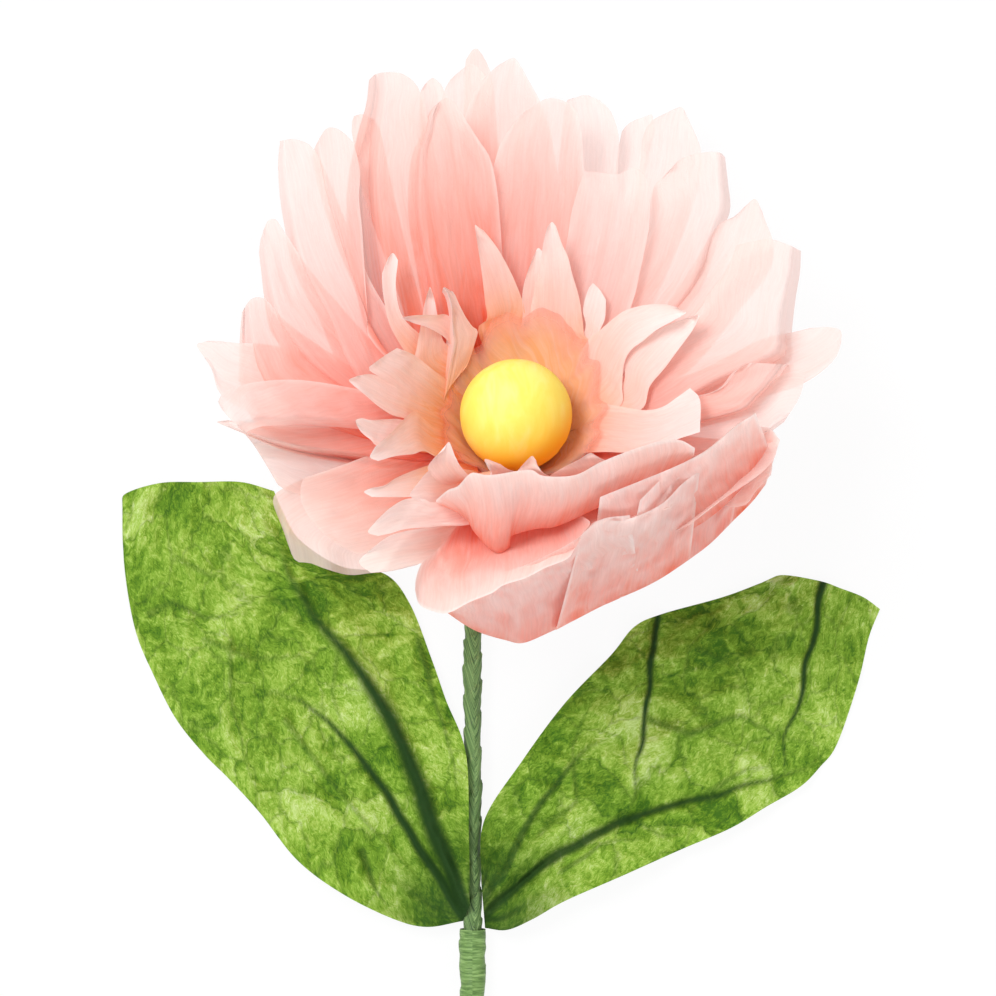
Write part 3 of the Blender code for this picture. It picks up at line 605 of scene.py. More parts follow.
# Petals whose inside shows: the funnel's depth, then the left edge from the head outwards,
# the tip and the right edge, as pixels of the photograph's frame
OPEN_PETALS = {
    1: (3, "600,418 650,412 690,398 718,389 732,373", "740,367 752,363 794,365",
        "610,455 660,443 700,428 751,414 763,402 782,381"),
    2: (3, "530,390 545,320 565,250 572,210", "584,171 603,173 619,174 633,167 643,173",
        "560,400 600,360 620,330 633,301 640,272 645,249 649,225 650,202 649,185"),
    3: (3, "460,400 430,330 415,260 408,210 411,160 421,135 427,117", "435,105 447,98 456,104",
        "500,400 505,320 502,250 497,190 490,158 480,142 469,125 463,115"),
    4: (4, "600,400 650,360 699,310 706,298 725,272 732,256", "737,245 754,241 770,239 787,244 801,251",
        "620,430 680,410 730,385 789,362 791,343 793,320 796,296 800,272"),
    5: (4, "480,400 475,300 480,220 495,161 501,143 513,124", "527,110 541,101 553,98 567,102",
        "560,400 580,320 590,250 590,200 584,170 583,150 581,128 577,111"),
    8: (5, "560,390 600,320 630,270 650,230 652,200 655,185", "669,171 681,159 699,153 718,152 725,157",
        "600,410 650,350 700,290 718,240 730,211 728,183"),
    9: (5, "410,410 370,340 350,260 347,190 356,140 366,105", "369,80 376,74 388,72 400,73 411,79 418,87",
        "480,400 462,330 450,250 440,190 432,140 425,105"),
    10: (5, "430,500 370,505 320,500 290,492", "278,485 255,447 240,429 228,417 221,408",
         "440,420 380,395 300,380 240,385 219,398"),
    12: (6, "600,400 650,330 690,270 716,228 735,216", "744,207 755,199 762,211",
         "620,420 690,370 740,310 770,270 773,242 767,225"),
    13: (6, "470,400 460,300 455,200 460,140 468,107 477,88 487,75", "500,64 514,58 522,68",
         "545,400 560,300 560,200 550,130 539,99 533,88"),
    14: (6, "430,420 390,360 360,300 335,240 320,195 313,160",
         "314,149 318,141 326,129 335,128 344,133 354,143",
         "450,400 400,370 369,337 368,317 365,277 362,228 359,198 360,171"),
    15: (6, "620,430 680,415 740,395 790,372", "806,374 799,398 784,422",
         "620,470 660,468 700,462 750,452 766,436"),
    16: (7, "420,420 365,400 340,370 320,321 309,301 297,277 289,254 285,230 281,206 279,187 278,163",
         "280,141 292,139 303,141", "440,400 400,330 370,280 345,220 325,170 313,148"),
    18: (8, "470,400 450,250 440,130 445,89", "455,75 471,64 483,72",
         "500,400 505,300 500,180 495,110 490,85"),
    19: (8, "400,430 340,400 300,372 277,341 269,327 264,297 261,270 259,252",
         "261,238 267,222 275,219 281,226", "430,400 380,350 335,300 310,270 290,240"),
    20: (8, "470,500 450,540 425,560",
         "417,565 392,571 371,573 349,575 326,569 310,563 296,561 289,547 283,529",
         "440,470 380,470 320,475 290,485 273,499"),
    23: (9, "620,400 700,370 760,340 794,332", "810,328 829,327 841,331 841,343",
         "620,430 700,410 770,395 808,381 834,360"),
    24: (9, "530,400 550,250 560,150 566,103", "574,98 586,95 600,100",
         "570,400 600,300 615,220 618,164 619,138 616,124 610,110"),
    25: (9, "420,470 330,455 262,430 241,390 239,361 240,335", "242,312 250,300 259,297 266,299",
         "430,405 350,365 290,325 270,303"),
    27: (10, "570,380 600,290 628,210 640,165 642,140 650,122", "666,113 681,107 687,116",
         "600,400 650,310 685,230 700,180 701,151 695,133"),
    28: (10, "450,400 430,250 420,120 421,90", "425,84 433,78 441,84", "480,400 465,250 455,150 447,100"),
    29: (10, "400,440 330,425 260,415 222,396 212,370", "204,357 197,345 207,341",
         "400,385 330,360 270,345 238,343 220,341"),
    32: (11, "560,380 590,280 612,190 618,150", "622,131 631,122 652,114",
         "590,390 620,290 640,200 650,150 655,130"),
    33: (11, "430,400 400,300 365,200 352,133", "354,116 362,114 370,117",
         "450,400 420,300 395,200 380,130"),
    34: (11, "400,470 300,455 240,432", "228,427 217,422 228,420", "400,430 300,425 237,421"),
    36: (12, "470,400 465,200 464,90", "466,60 476,51 486,62", "500,400 500,200 494,90"),
    31: (10, "620,450 680,450 750,451", "765,454 772,464 771,475", "620,490 680,500 739,507 756,491"),
}

# Front petals whose inside shows, drawn the same way with each point's height in millimetres
RAISED_PETALS = {
    6: ("480,520,66 440,526,74 406,529,82 392,533,85", "378,536,88 368,532,90 376,521,89",
        "480,486,66 437,502,78 424,499,81 406,499,84 390,508,87"),
    30: ("480,540,56 450,558,64 418,564,69 392,570,73", "371,573,75 359,562,77 371,549,77",
         "480,500,58 450,520,66 427,527,71 406,531,74 389,536,76"),
    21: ("545,495,50 575,512,70 590,522,80",
         "584,531,86 575,548,88 567,559,89 545,568,90 526,578,91 504,585,92 492,593,92 470,602,93 "
         "448,613,93 432,611,92 419,604,90 415,590,88",
         "480,500,50 459,524,62 436,551,72 422,563,78 416,578,84"),
    17: ("590,470,48 640,470,64 682,478,76",
         "676,490,80 671,506,82 657,512,83 642,517,84 625,523,84 596,523,84 587,531,84",
         "530,490,46 555,515,60 575,533,74"),
}

# Front petals seen from outside: the belly that makes the outline, then the edge above it
CUPPED_PETALS = {
    11: ("436,503,84 463,516,80 474,532,76 486,546,73 497,553,72 505,551,72 510,545,72 512,536,73 "
         "536,529,74 555,527,74 579,517,75 613,500,76 633,488,77 652,481,78 679,468,80 694,456,84",
         "436,500,92 448,490,94 458,486,95 471,473,96 485,475,96 499,474,96 517,471,96 532,470,96 "
         "544,476,96 575,475,96 601,462,95 634,449,94 660,441,93 680,440,92 695,448,90"),
    38: ("446,612,44 465,625,43 481,633,43 505,640,43 523,643,43 548,633,44 573,621,45 600,607,46 "
         "622,597,48 640,585,52",
         "440,604,78 470,590,80 504,574,82 545,556,82 575,540,82 600,520,82 630,515,80"),
    26: ("556,630,46 590,612,45 619,598,45 645,586,45 665,576,46 690,558,48",
         "580,540,84 596,521,84 625,520,84 660,505,84 682,484,84 700,470,82"),
    35: ("620,598,46 645,587,45 665,576,45 690,559,45 711,543,46 732,522,48",
         "640,500,84 672,470,86 706,450,86 735,426,84 752,416,82"),
    39: ("672,571,44 695,555,43 711,543,43 732,522,43 752,502,44 766,484,48",
         "690,470,78 720,450,78 745,430,78 768,428,76 780,440,72"),
    7: ("592,560,62 640,548,60 690,530,58 722,508,58 750,478,60 768,446,64",
        "600,497,90 640,481,91 674,467,91 706,451,90 735,427,88 756,413,86"),
}

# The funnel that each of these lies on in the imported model, and how far each is brought to it
FRONT_PETAL_DEPTHS = {6: 4, 7: 4, 11: 5, 17: 7, 21: 8, 26: 9, 30: 10, 35: 11, 38: 12, 39: 12}
SETTLING = 0.9
MOST_SETTLING = 14 * MM

# Neighbouring layers stand this far apart at their tips, and the petals' middle layer stays in place
LAYER_SPREAD = 0.7 * MM
MIDDLE_LAYER = 4.5

# Petals that are paler than the rest all over, or deeper where the number is below zero;
# some of this is painted shade, such as petal 21 made deeper where it lies under petal 11
REACH_SHIFT = {1: 0.05, 2: 0.1, 3: 0.04, 4: 0.16, 6: 0.35, 7: -0.04, 8: 0.08, 9: 0.08, 11: -0.06,
               12: 0.1, 14: 0.06, 15: 0.15, 16: 0.06, 17: 0.1, 19: 0.06, 21: -0.16, 23: 0.1, 24: 0.1,
               26: -0.08, 27: 0.25, 28: 0.25, 29: 0.1, 30: 0.1, 31: 0.15, 32: 0.25, 33: 0.2, 35: -0.02,
               36: 0.3, 38: -0.06, 39: 0.06}

# Petals whose outside shows crushed, and how high its ridges stand in millimetres
CRUSHING = {38: 1.0, 26: 0.9, 35: 0.9, 39: 0.9, 7: 0.7, 20: 0.5, 10: 0.5, 31: 0.5}
CRUSHED_SIZE = 8 * MM

# The petals left, hidden by the others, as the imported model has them: direction in degrees,
# length and half width in millimetres, and the layer counted from the front
PLAIN_PETALS = {22: (334, 88, 17, 5), 37: (214, 70, 15, 9)}


def worn_paper(points, share, seed, layer, crushing):
    """Give a sheet the waves and creases that handling leaves, growing towards its tip.

    Sheets that lie together share the broad waves, and spread apart by their layer.
    """
    u, v = sheet_places(points)
    loose = smooth_step((share - 0.1) / 0.9)
    x, y = points[..., 0], points[..., 1]
    # Broad waves that neighbours share, then the sheet's own ripples from coarse to fine
    height = 1.6 * MM * crumple(x, y, 22 * MM, 5) * loose
    height += 0.6 * MM * crumple(u, v, 9 * MM, seed) * loose
    height += 0.12 * MM * crumple(u, v, 2.4 * MM, seed + 80)
    height += (MIDDLE_LAYER - layer) * LAYER_SPREAD * share ** 1.3
    half = np.maximum(0.5 * np.ptp(u, axis=1, keepdims=True), MM)
    # Gathers run up the sheet from the wire and fade towards its tip
    height += 0.25 * MM * crumple(u / half * 14 * MM, v * 0.12, 2.6 * MM, seed + 40) * (1.1 - share)
    height += 0.9 * MM * (u / half) ** 2 * loose
    height += crushing * MM * crushed(u, v, CRUSHED_SIZE, seed + 20) * loose
    chance = np.random.default_rng(seed)
    for _ in range(5):
        middle = np.array([chance.uniform(-0.5, 0.5) * np.ptp(u), chance.uniform(0.35, 0.9) * np.max(v)])
        lean = chance.uniform(-0.9, 0.9)
        half_run = chance.uniform(10, 26) * MM * np.array([math.sin(lean), math.cos(lean)])
        fold = crease(u, v, middle - half_run, middle + half_run, 1.8 * MM)
        height += chance.choice([-0.4, 0.4]) * MM * fold
    points = raised(points, height)
    points[..., 2] = np.maximum(points[..., 2], FLOOR_GAP)
    return points


def plain_petal(turn, length, half_width, layer):
    funnel = Funnel(FRONT_DEPTH + layer)
    side = np.linspace(1, -1, PETAL_COLUMNS)[None, :]
    share = np.linspace(0, 1, PETAL_ROWS)[:, None]
    middle = funnel.read(funnel.radius, math.radians(turn) + 0 * share, share * length * MM)
    wide = (4.6 + (half_width - 4.6) * np.sin(0.5 * math.pi * np.clip(share / 0.7, 0, 1))) * MM
    spread = side * np.minimum(wide / middle, math.radians(20))
    return funnel.at(math.radians(turn) + spread, share * length * MM * (1 - 0.08 * np.abs(side) ** 2.4))


def petal_sheets():
    """Every petal's number, grid of points and layer."""
    for number, (depth, *lines) in OPEN_PETALS.items():
        left, tip, right = map(dots, lines)
        start, end = throat_corners(tip)
        flat = edge_sheet([start] + left, tip, [end] + right, PETAL_ROWS, PETAL_COLUMNS)
        yield number, onto_funnel(flat, depth), depth - FRONT_DEPTH
    for number, lines in RAISED_PETALS.items():
        left, tip, right = map(dots, lines)
        start, end = throat_corners(tip)
        flat = edge_sheet([(*start, RAISED_BASE)] + left, tip, [(*end, RAISED_BASE)] + right,
                          PETAL_ROWS, 2 * PETAL_COLUMNS)
        yield number, settled(flat, FRONT_PETAL_DEPTHS[number]), MIDDLE_LAYER
    for number, lines in CUPPED_PETALS.items():
        belly, edge = map(dots, lines)
        run = 0.12 * (np.array([belly[0], belly[len(belly) // 2], belly[-1]])[:, :2] - THROAT)
        base = [(*(THROAT + step), CUPPED_BASE) for step in run]
        flat = cupped_sheet(base, belly, edge, PETAL_ROWS, 3 * PETAL_COLUMNS)[:, ::-1]
        yield number, settled(flat, FRONT_PETAL_DEPTHS[number]), MIDDLE_LAYER
    for number, petal in PLAIN_PETALS.items():
        yield number, plain_petal(*petal), petal[3]


def make_petals(paint):
    for number, points, layer in petal_sheets():
        share = up_share(points)
        u, v = sheet_places(points)
        to_edge = np.minimum(0.5 * np.ptp(u, axis=1, keepdims=True) - np.abs(u), v[-1:] - v)
        rim = 1 - smooth_step(to_edge / EDGE_HIGHLIGHT_WIDTH)
        # Every other sheet came off a paler roll, and each one's cut edges are painted palest, a painted
        # highlight where they catch the light
        paler = 0.06 * (-1) ** number + REACH_SHIFT.get(number, 0.0)
        # Painted shade: the colour is deeper in the creases of crushed paper
        crushing = CRUSHING.get(number, 0.0)
        creases = np.clip(0.7 - crushed(u, v, CRUSHED_SIZE, number + 20), 0, 1)
        paler = paler - 0.16 * crushing * creases
        # Painted shade: reach is lowest at the base, where the ramp gives the deepest colour
        reach = np.clip(share + paler + 0.3 * rim * smooth_step(3 * share), 0, 1)
        tone = np.full(share.shape, 1.0 + 0.15 * math.sin(2.3 * number))
        front = number in RAISED_PETALS or number in CUPPED_PETALS
        thin = 0.06 + 0 * share if front else 0.1 + 0.3 * share
        points = worn_paper(points, share, number, layer, crushing)
        lay(f"tissue_petal_{number:02d}", [points], paint, [f"petal_{number:02d}"],
            {"reach": [reach], "tone": [tone], "thinness": [thin]})


# Fringed strips

TOOTH_ROWS, TOOTH_COLUMNS = 34, 14

# Fringe teeth drawn like the open petals, with each tooth's funnel depth and how far its
# tip curls towards the viewer in millimetres
OUTER_TEETH = [
    (2, 4, "495,372 478,331 487,319 485,302 482,275 478,248", "476,234 475,225 480,228",
     "530,372 527,335 524,306 522,299 514,279 505,261 496,246 485,232"),
    (2, 1, "510,372 522,320 522,299 524,284 529,268", "534,255 538,248 543,252",
     "545,372 548,320 550,285 548,262"),
    (1.7, 5, "520,380 539,335 532,326 530,315 533,297 537,279 541,257 545,235", "548,226 552,222 556,226",
     "560,385 587,342 584,335 583,324 581,308 578,293 572,273 568,257 562,244"),
    (2.3, 1, "555,380 584,333 583,310 588,290", "593,283 600,290 606,300",
     "570,390 592,345 600,330 605,318"),
    (2, 7, "555,395 587,342 600,330 614,318 626,310 645,305 664,304", "676,307 686,312 680,317",
     "575,425 619,407 622,386 624,364 631,350 643,341 655,331 671,322"),
    (2.4, 4, "570,400 620,386 626,362 643,341 659,329 681,320", "690,317 699,315 697,322",
     "580,425 620,415 643,408 650,386 664,369 678,350 692,331"),
    (2, 3, "570,405 604,404 643,410 662,407 676,398", "690,388 700,400 700,432",
     "560,455 600,452 640,452 675,440"),
    (2.2, 2, "470,420 440,395 411,385 417,346 421,324 425,302", "428,292 430,287 433,294",
     "480,385 460,350 444,342 438,318 435,302"),
    (2.6, 1, "470,410 420,370 392,330 384,300 382,275 385,266", "388,258 393,253 398,260",
     "480,390 440,350 405,320 396,290"),
    (1.8, 4, "470,440 430,412 405,395 385,380 370,371", "369,367 384,356 397,348",
     "480,400 455,385 436,372 414,355"),
    (1.7, 3, "470,450 439,432 406,419 392,415 378,406 365,395", "354,386 349,380 357,376",
     "475,420 450,410 424,401 410,392 397,385 381,377 369,374"),
    (2.0, 3, "470,455 420,452 380,447 371,440 362,433", "357,426 356,420 362,418",
     "475,435 430,430 403,420 389,419 372,420"),
    (1.6, 5, "475,462 440,458 424,451 414,454 396,456", "378,461 370,457 375,447",
     "470,435 440,430 424,419 415,411 403,420 389,435"),
    (2.4, 2, "480,480 440,495 406,497 389,497", "372,497 364,492 371,488",
     "475,455 440,462 415,470 396,478 385,485"),
]
INNER_TEETH = [
    (1, 4, "478,440 440,420 438,413 441,377 444,357 448,328 449,315 446,299", "442,292 444,287 449,290",
     "490,400 456,384 467,366 474,346 478,331 474,328 467,319 460,306 454,293"),
    (1.4, 3, "480,400 462,360 446,339 429,328 416,324", "408,321 401,318 409,316",
     "485,380 470,340 449,316 436,315 418,315"),
]
# Front teeth that stand over the ball's lower edge, with each point's height in millimetres
FRONT_TEETH = [
    ("500,470,60 480,484,76 462,468,84", "455,456,86 449,442,88 444,450,87",
     "470,480,60 445,485,76 428,470,82 434,458,85"),
    ("530,480,66 528,474,80 510,470,84", "500,464,86 485,459,87 488,468,86",
     "490,480,66 490,476,80 492,474,84"),
    ("560,480,68 545,474,84 538,466,86", "536,460,88 532,456,88 526,461,88",
     "520,480,68 516,474,84 520,468,86"),
    ("640,470,70 612,462,86 600,458,88", "597,456,89 590,453,89 580,459,88",
     "545,480,70 552,474,84 566,466,86"),
    ("470,500,62 440,508,74 424,503,80", "412,498,84 410,494,85 417,484,85",
     "470,470,62 448,468,76 430,470,82"),
]
COLLAR_EDGE = dots("524,305 552,300 574,318 592,338 604,362 610,392 609,420 602,446 584,466 556,478 "
                   "516,484 478,476 452,460 438,440 437,412 446,384 460,358 476,334 497,312 524,305")

# How far out to that edge the fringed strips and the collar go
STRIP_SHARE, COLLAR_SHARE = 0.74, 0.92
# A ring's cut depth: at least, at most, and where the camera doesn't see it cross its edge
LEAST_CUT, MOST_CUT, HIDDEN_CUT = 24 * MM, 46 * MM, 38 * MM
RING_STEPS = np.linspace(0, 60 * MM, 121)
STRIP_ROWS, STRIP_COLUMNS = 16, 160
COLLAR_ROWS, COLLAR_COLUMNS = 24, 220


def inward(share):
    """The collar's edge drawn in towards the ball."""
    return [tuple(BALL_PIXEL + share * (np.array(point) - BALL_PIXEL)) for point in COLLAR_EDGE]


def ring_sheet(edge, depth, rows, columns):
    """A collar round the ball, from the wire out to its edge as the camera sees it."""
    funnel = Funnel(depth)
    turn = np.linspace(2 * math.pi, 0, columns)
    away = seen_from_ball(funnel.at(turn[None, :], RING_STEPS[:, None]))
    rim = np.array(edge) - BALL_PIXEL
    rim_turn = np.arctan2(-rim[:, 1], rim[:, 0])
    order = np.argsort(rim_turn)
    top = []
    for column in range(columns):
        x, y = away[:, column, 0], away[:, column, 1]
        reach = np.interp(np.arctan2(-y, x), rim_turn[order], np.hypot(*rim.T)[order], period=2 * math.pi)
        past = np.flatnonzero((np.hypot(x, y) > reach) & (RING_STEPS > LEAST_CUT))
        top.append(min(RING_STEPS[past[0]], MOST_CUT) if len(past) else HIDDEN_CUT)
    smooth = np.convolve(np.tile(top, 3), np.ones(9) / 9, mode="same")[columns:2 * columns]
    smooth[-1] = smooth[0]
    # The edge is torn, not cut
    smooth = smooth * (1 + 0.09 * round_noise(turn, 6, depth))
    return funnel.at(turn[None, :], np.linspace(0.05, 1, rows)[:, None] * smooth[None, :])


def teeth_sheets(teeth):
    for number, (depth, curl, *lines) in enumerate(teeth):
        left, tip, right = map(dots, lines)
        points = onto_funnel(edge_sheet(left, tip, right, TOOTH_ROWS, TOOTH_COLUMNS), depth)
        share = up_share(points)
        points = raised(points, MM * (2.5 * share + curl * share ** 2.5))
        # Painted light: the teeth right of the ball, where the light falls on them, are the palest
        paler = 0.2 * np.clip((tip[1][0] - BALL_PIXEL[0]) / 100, -0.3, 1)
        yield fringe_paper(points, share, 200 + number), share, np.clip(share + paler, 0, 1)


def fringe_paper(points, share, seed):
    u, v = sheet_places(points)
    half = np.maximum(0.5 * np.ptp(u, axis=1, keepdims=True), 0.5 * MM)
    height = 0.35 * MM * crumple(u, v, 6 * MM, seed) * share + 0.08 * MM * crumple(u, v, 2 * MM, seed + 1)
    height += 0.5 * MM * (u / half) ** 2 * share
    return raised(points, height)


def make_strips(collar_paint, fringe_paint):
    outer = list(teeth_sheets(OUTER_TEETH))
    for number, lines in enumerate(FRONT_TEETH):
        left, tip, right = map(dots, lines)
        start, end = [(0.5 * (x + THROAT[0]), y + 4, TOOTH_BASE) for x, y, _ in (left[0], right[0])]
        flat = edge_sheet([start] + left, tip, [end] + right, TOOTH_ROWS, TOOTH_COLUMNS)
        points = on_photo(flat, flat[..., 2] * MM)
        share = up_share(points)
        outer.append((fringe_paper(points, share, 230 + number), share, share))
    for depth, name, node, teeth, seed in ((2.6, "outer_fringe_strip", "outer_fringe", outer, 62),
                                           (1.3, "inner_fringe_strip", "inner_fringe",
                                            list(teeth_sheets(INNER_TEETH)), 63)):
        ring = ring_sheet(inward(STRIP_SHARE), depth, STRIP_ROWS, STRIP_COLUMNS)
        share = up_share(ring)
        sheets = [(fringe_paper(ring, share, seed), share, 0.45 * share)] + teeth
        # Between the teeth the strip thins out, so its edge doesn't show as a ring
        thin = [0.14 + 0.8 * share ** 3] + [0.14 + 0 * tooth for _, tooth, _ in teeth]
        lay(name, [points for points, _, _ in sheets], fringe_paint, [node],
            {"reach": [reach for _, _, reach in sheets], "tone": [1 + 0 * reach for _, _, reach in sheets],
             "thinness": thin})
    collar = ring_sheet(inward(COLLAR_SHARE), 0.4, COLLAR_ROWS, COLLAR_COLUMNS)
    share = up_share(collar)
    u, v = sheet_places(collar)
    gather = crumple(u, v * 0.3, 2.8 * MM, 64) * 0.8 * MM * share
    gathered = collar + gather[..., None] * sheet_normals(collar)
    lay("orange_collar", [gathered], collar_paint, ["yellow_collar"],
        {"reach": [share], "tone": [1 + 0 * share], "thinness": [0.05 + 0.85 * share ** 4]})


# Ball

def make_ball(paint):
    """The ball under its pulled paper, which gathers into folds towards the wire."""
    rows, columns = 120, 240
    polar = np.linspace(0.002, math.pi - 0.002, rows)[:, None]
    turn = np.linspace(0, 2 * math.pi, columns)[None, :]
    right, up_face, axis = head_axes()
    direction = (np.multiply.outer(np.sin(polar) * np.cos(turn), right)
                 + np.multiply.outer(np.sin(polar) * np.sin(turn), up_face)
                 + np.multiply.outer(np.cos(polar) + 0 * turn, axis))
    ripple = np.array([noise.noise(Vector(d * 2.2)) for d in direction.reshape(-1, 3)]).reshape(rows, columns)
    folds = round_noise(turn[0], 9, 3.1)[None, :]
    gather = smooth_step((polar - 1.3) / 1.6)
    radius = BALL_RADIUS + 0.15 * MM * ripple + 0.5 * MM * folds * gather - 0.3 * MM
    points = BALL + radius[..., None] * direction
    # Painted shade and reflected light: the side of the ball turned from the key lamp
    painted_bounce_shade = smooth_step(0.42 - 1.1 * (direction @ np.array([-0.35, 0.72, 0.6])))
    lay("paper_ball", [points], paint, ["center_ball"], {"painted_bounce_shade": [painted_bounce_shade]})


# Stem and tapes

# Where the stem's bend ends above the leaf joint and how much higher it lies there, and how
# strongly the bend leaves the head and runs into the stem
BEND_END, BEND_LIFT = 92 * MM, 1.5 * MM
TOP_PULL, LOW_PULL = 24 * MM, 28.8 * MM


def stem_path():
    """Centre of the stem from under the head, round its bend, to below the leaf joint."""
    axis = head_axes()[2]
    start = head_point(0.0, 0.0, -BINDING_HEIGHT - 0.3 * MM) - LEAF_JOINT
    top = start - STEM_RADIUS * axis
    joint = np.array([0.0, 0.0, JOINT_RADIUS])
    low = np.array([0.0, BEND_END, JOINT_RADIUS + BEND_LIFT])
    run = (joint - low) / np.linalg.norm(joint - low)
    t = np.linspace(0, 1, 24)[:, None]
    bend = ((2 * t**3 - 3 * t**2 + 1) * top - (t**3 - 2 * t**2 + t) * TOP_PULL * axis
            + (3 * t**2 - 2 * t**3) * low + (t**3 - t**2) * LOW_PULL * run)
    return np.vstack([[start], bend, [joint], [[0.0, -STEM_BELOW_LEAVES, JOINT_RADIUS]]]) + LEAF_JOINT


# A wound tube's corners round it, and how far apart its rings are
TUBE_SIDES = 48
RING_PITCH = 0.7 * MM


def wound_tube(path, radii, pitch, step, seed):
    """A tape-wound tube along a path: each wrap laps the last one with a small step."""
    length = travelled(path)
    stations = np.arange(0, length[-1], RING_PITCH)
    centre = smooth_line(path, stations / length[-1])
    radius = np.interp(stations, length, radii)
    tangents = np.gradient(centre, axis=0)
    tangents /= np.linalg.norm(tangents, axis=1, keepdims=True)
    side = np.cross(tangents[0], [1.0, 0.0, 0.0])
    angle = np.linspace(0, 2 * math.pi, TUBE_SIDES + 1)
    rings = []
    for point, tangent, r, s in zip(centre, tangents, radius, stations):
        side = side - tangent * np.dot(side, tangent)
        side = side / np.linalg.norm(side)
        other = np.cross(tangent, side)
        wrap = (s / pitch - angle / (2 * math.pi)) % 1.0
        out = r - step * wrap - 0.3 * step * np.sin(angle * 2 + s / (5 * MM))
        rings.append(point + out[:, None] * (np.outer(np.cos(angle), side) + np.outer(np.sin(angle), other)))
    rings = np.array(rings)
    u, v = sheet_places(rings)
    height = 0.3 * MM * crumple(u * 0.5, v, 2.2 * MM, seed)
    height[:, -1] = height[:, 0]
    return rings + height[..., None] * sheet_normals(rings)


def closed_end(ring, centre, out):
    """A small domed cap over a tube's last ring."""
    share = np.array([1.0, 0.93, 0.8, 0.5, 0.05])[:, None, None]
    dome = np.array([0.0, 0.35, 0.6, 0.85, 1.0])[:, None, None] * np.asarray(out)
    return centre + share * (ring - centre) + dome


def make_stem(tape_paint, joint_paint):
    path = stem_path()
    tube = wound_tube(path, [STEM_RADIUS] * len(path), pitch=9 * MM, step=0.55 * MM, seed=70)
    lay("wound_stem_tape", [tube], tape_paint, ["stem_tape"])
    foot = joint_low.y
    joint_path = LEAF_JOINT + np.array([[0, 0, JOINT_RADIUS], [0, 0.5 * (foot - LEAF_JOINT[1]), JOINT_RADIUS],
                                        [0, foot - LEAF_JOINT[1] + 1.2 * MM, JOINT_RADIUS]])
    wrap = wound_tube(joint_path, [JOINT_RADIUS, 0.5 * (JOINT_RADIUS + JOINT_END_RADIUS), JOINT_END_RADIUS],
                      pitch=14 * MM, step=0.35 * MM, seed=71)
    cap = closed_end(wrap[-1], joint_path[-1], [0, -1.0 * MM, 0])
    lay("wound_joint_tape", [wrap, cap], joint_paint, ["leaf_joint_tape"])


# Leaves, drawn by their outlines in the photograph

# Each leaf's outer edge, inner edge and end edge, from the joint outwards, in pixels
LEFT_LEAF = ("463,921 426,927 391,918 341,893 297,860 260,813 229,779 204,754 176,719 154,676 135,629 "
             "124,563 124,507",
             "470,905 469,840 466,754 446,700 432,660 410,604 385,574 340,566 300,540 283,512 274,491",
             "124,507 125,494 160,483 200,482 241,482 274,491")
RIGHT_LEAF = ("485,928 507,930 533,919 565,901 622,876 680,850 731,828 766,807 800,787 820,767 837,744 "
              "858,683 869,637 880,609",
              "481,880 484,821 522,761 565,703 611,655 634,627 662,614 723,597 766,581",
              "880,609 863,597 840,588 820,581 783,575 766,581")

# Folds of each leaf as lines of pixels, with the half width in pixels, the height in
# millimetres and how dark the painted shade in it is
LEFT_FOLDS = [
    ("468,918 449,868 429,815 400,740 380,700 345,652 310,613 286,566 266,520 254,494", 19, 2.2, 1.0),
    ("466,920 420,850 385,790 352,748 329,722 300,700 262,690 232,684", 11, -1.6, 1.0),
    ("231,640 231,695 245,760 260,810", 4, 0.8, 0.45),
    ("150,615 175,604 205,618 240,612 262,600", 5, -0.8, 0.55),
    ("180,560 210,575 250,560", 5, 0.7, 0.35),
    ("205,640 255,660 300,655 335,690", 6, 0.8, 0.4),
    ("340,640 330,690 352,748", 5, 0.6, 0.35),
    ("360,850 375,890 395,915", 6, -0.8, 0.6),
    ("420,640 432,690 450,750 462,820", 5, 0.6, 0.5),
    ("285,720 330,780 390,850 440,905", 6, 0.9, 0.4),
]
RIGHT_FOLDS = [
    ("658,614 648,689 642,752 625,830", 7, 1.5, 1.0),
    ("822,581 814,646 798,700 783,738 781,800", 7, 1.4, 1.0),
    ("486,918 520,880 560,850 640,815 720,795 800,768 850,730", 11, -2.0, 0.95),
    ("484,905 510,850 545,800 590,745 625,728", 10, 1.6, 0.75),
    ("540,835 575,800 575,745 600,690", 5, -0.7, 0.4),
    ("650,720 690,735 740,715 780,738 815,742 835,735", 6, 0.9, 0.5),
    ("625,815 660,835 690,830", 6, -0.7, 0.45),
    ("700,800 745,770 781,762", 7, 0.9, 0.45),
    ("560,870 600,845 660,835", 5, 0.7, 0.5),
    ("700,650 735,665 745,700", 5, 0.6, 0.3),
]

LEAF_ROWS, LEAF_COLUMNS = 150, 96
JOINT_PIXEL = (476, 925)

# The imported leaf's lengthwise fold and the cup of its sides
PLEAT_WIDTH = 0.09
PLEAT_HEIGHT = 3.0 * MM
CUP_HEIGHT = 9.0 * MM


def line_nearness(x, y, points, width):
    """How near each place is to a line through points, 1 on it and 0 at its half width.

    The line narrows on its way and fades out at its end.
    """
    near = np.zeros(x.shape)
    length = travelled(points)
    for k, (start, end) in enumerate(zip(points[:-1], points[1:])):
        run = np.subtract(end, start)
        along = np.clip(((x - start[0]) * run[0] + (y - start[1]) * run[1]) / np.dot(run, run), 0, 1)
        off = np.hypot(x - start[0] - along * run[0], y - start[1] - along * run[1])
        gone = (length[k] + along * (length[k + 1] - length[k])) / length[-1]
        near = np.maximum(near, np.clip(1 - off / (width * (1 - 0.72 * gone)), 0, 1) * (1 - gone ** 3))
    return near


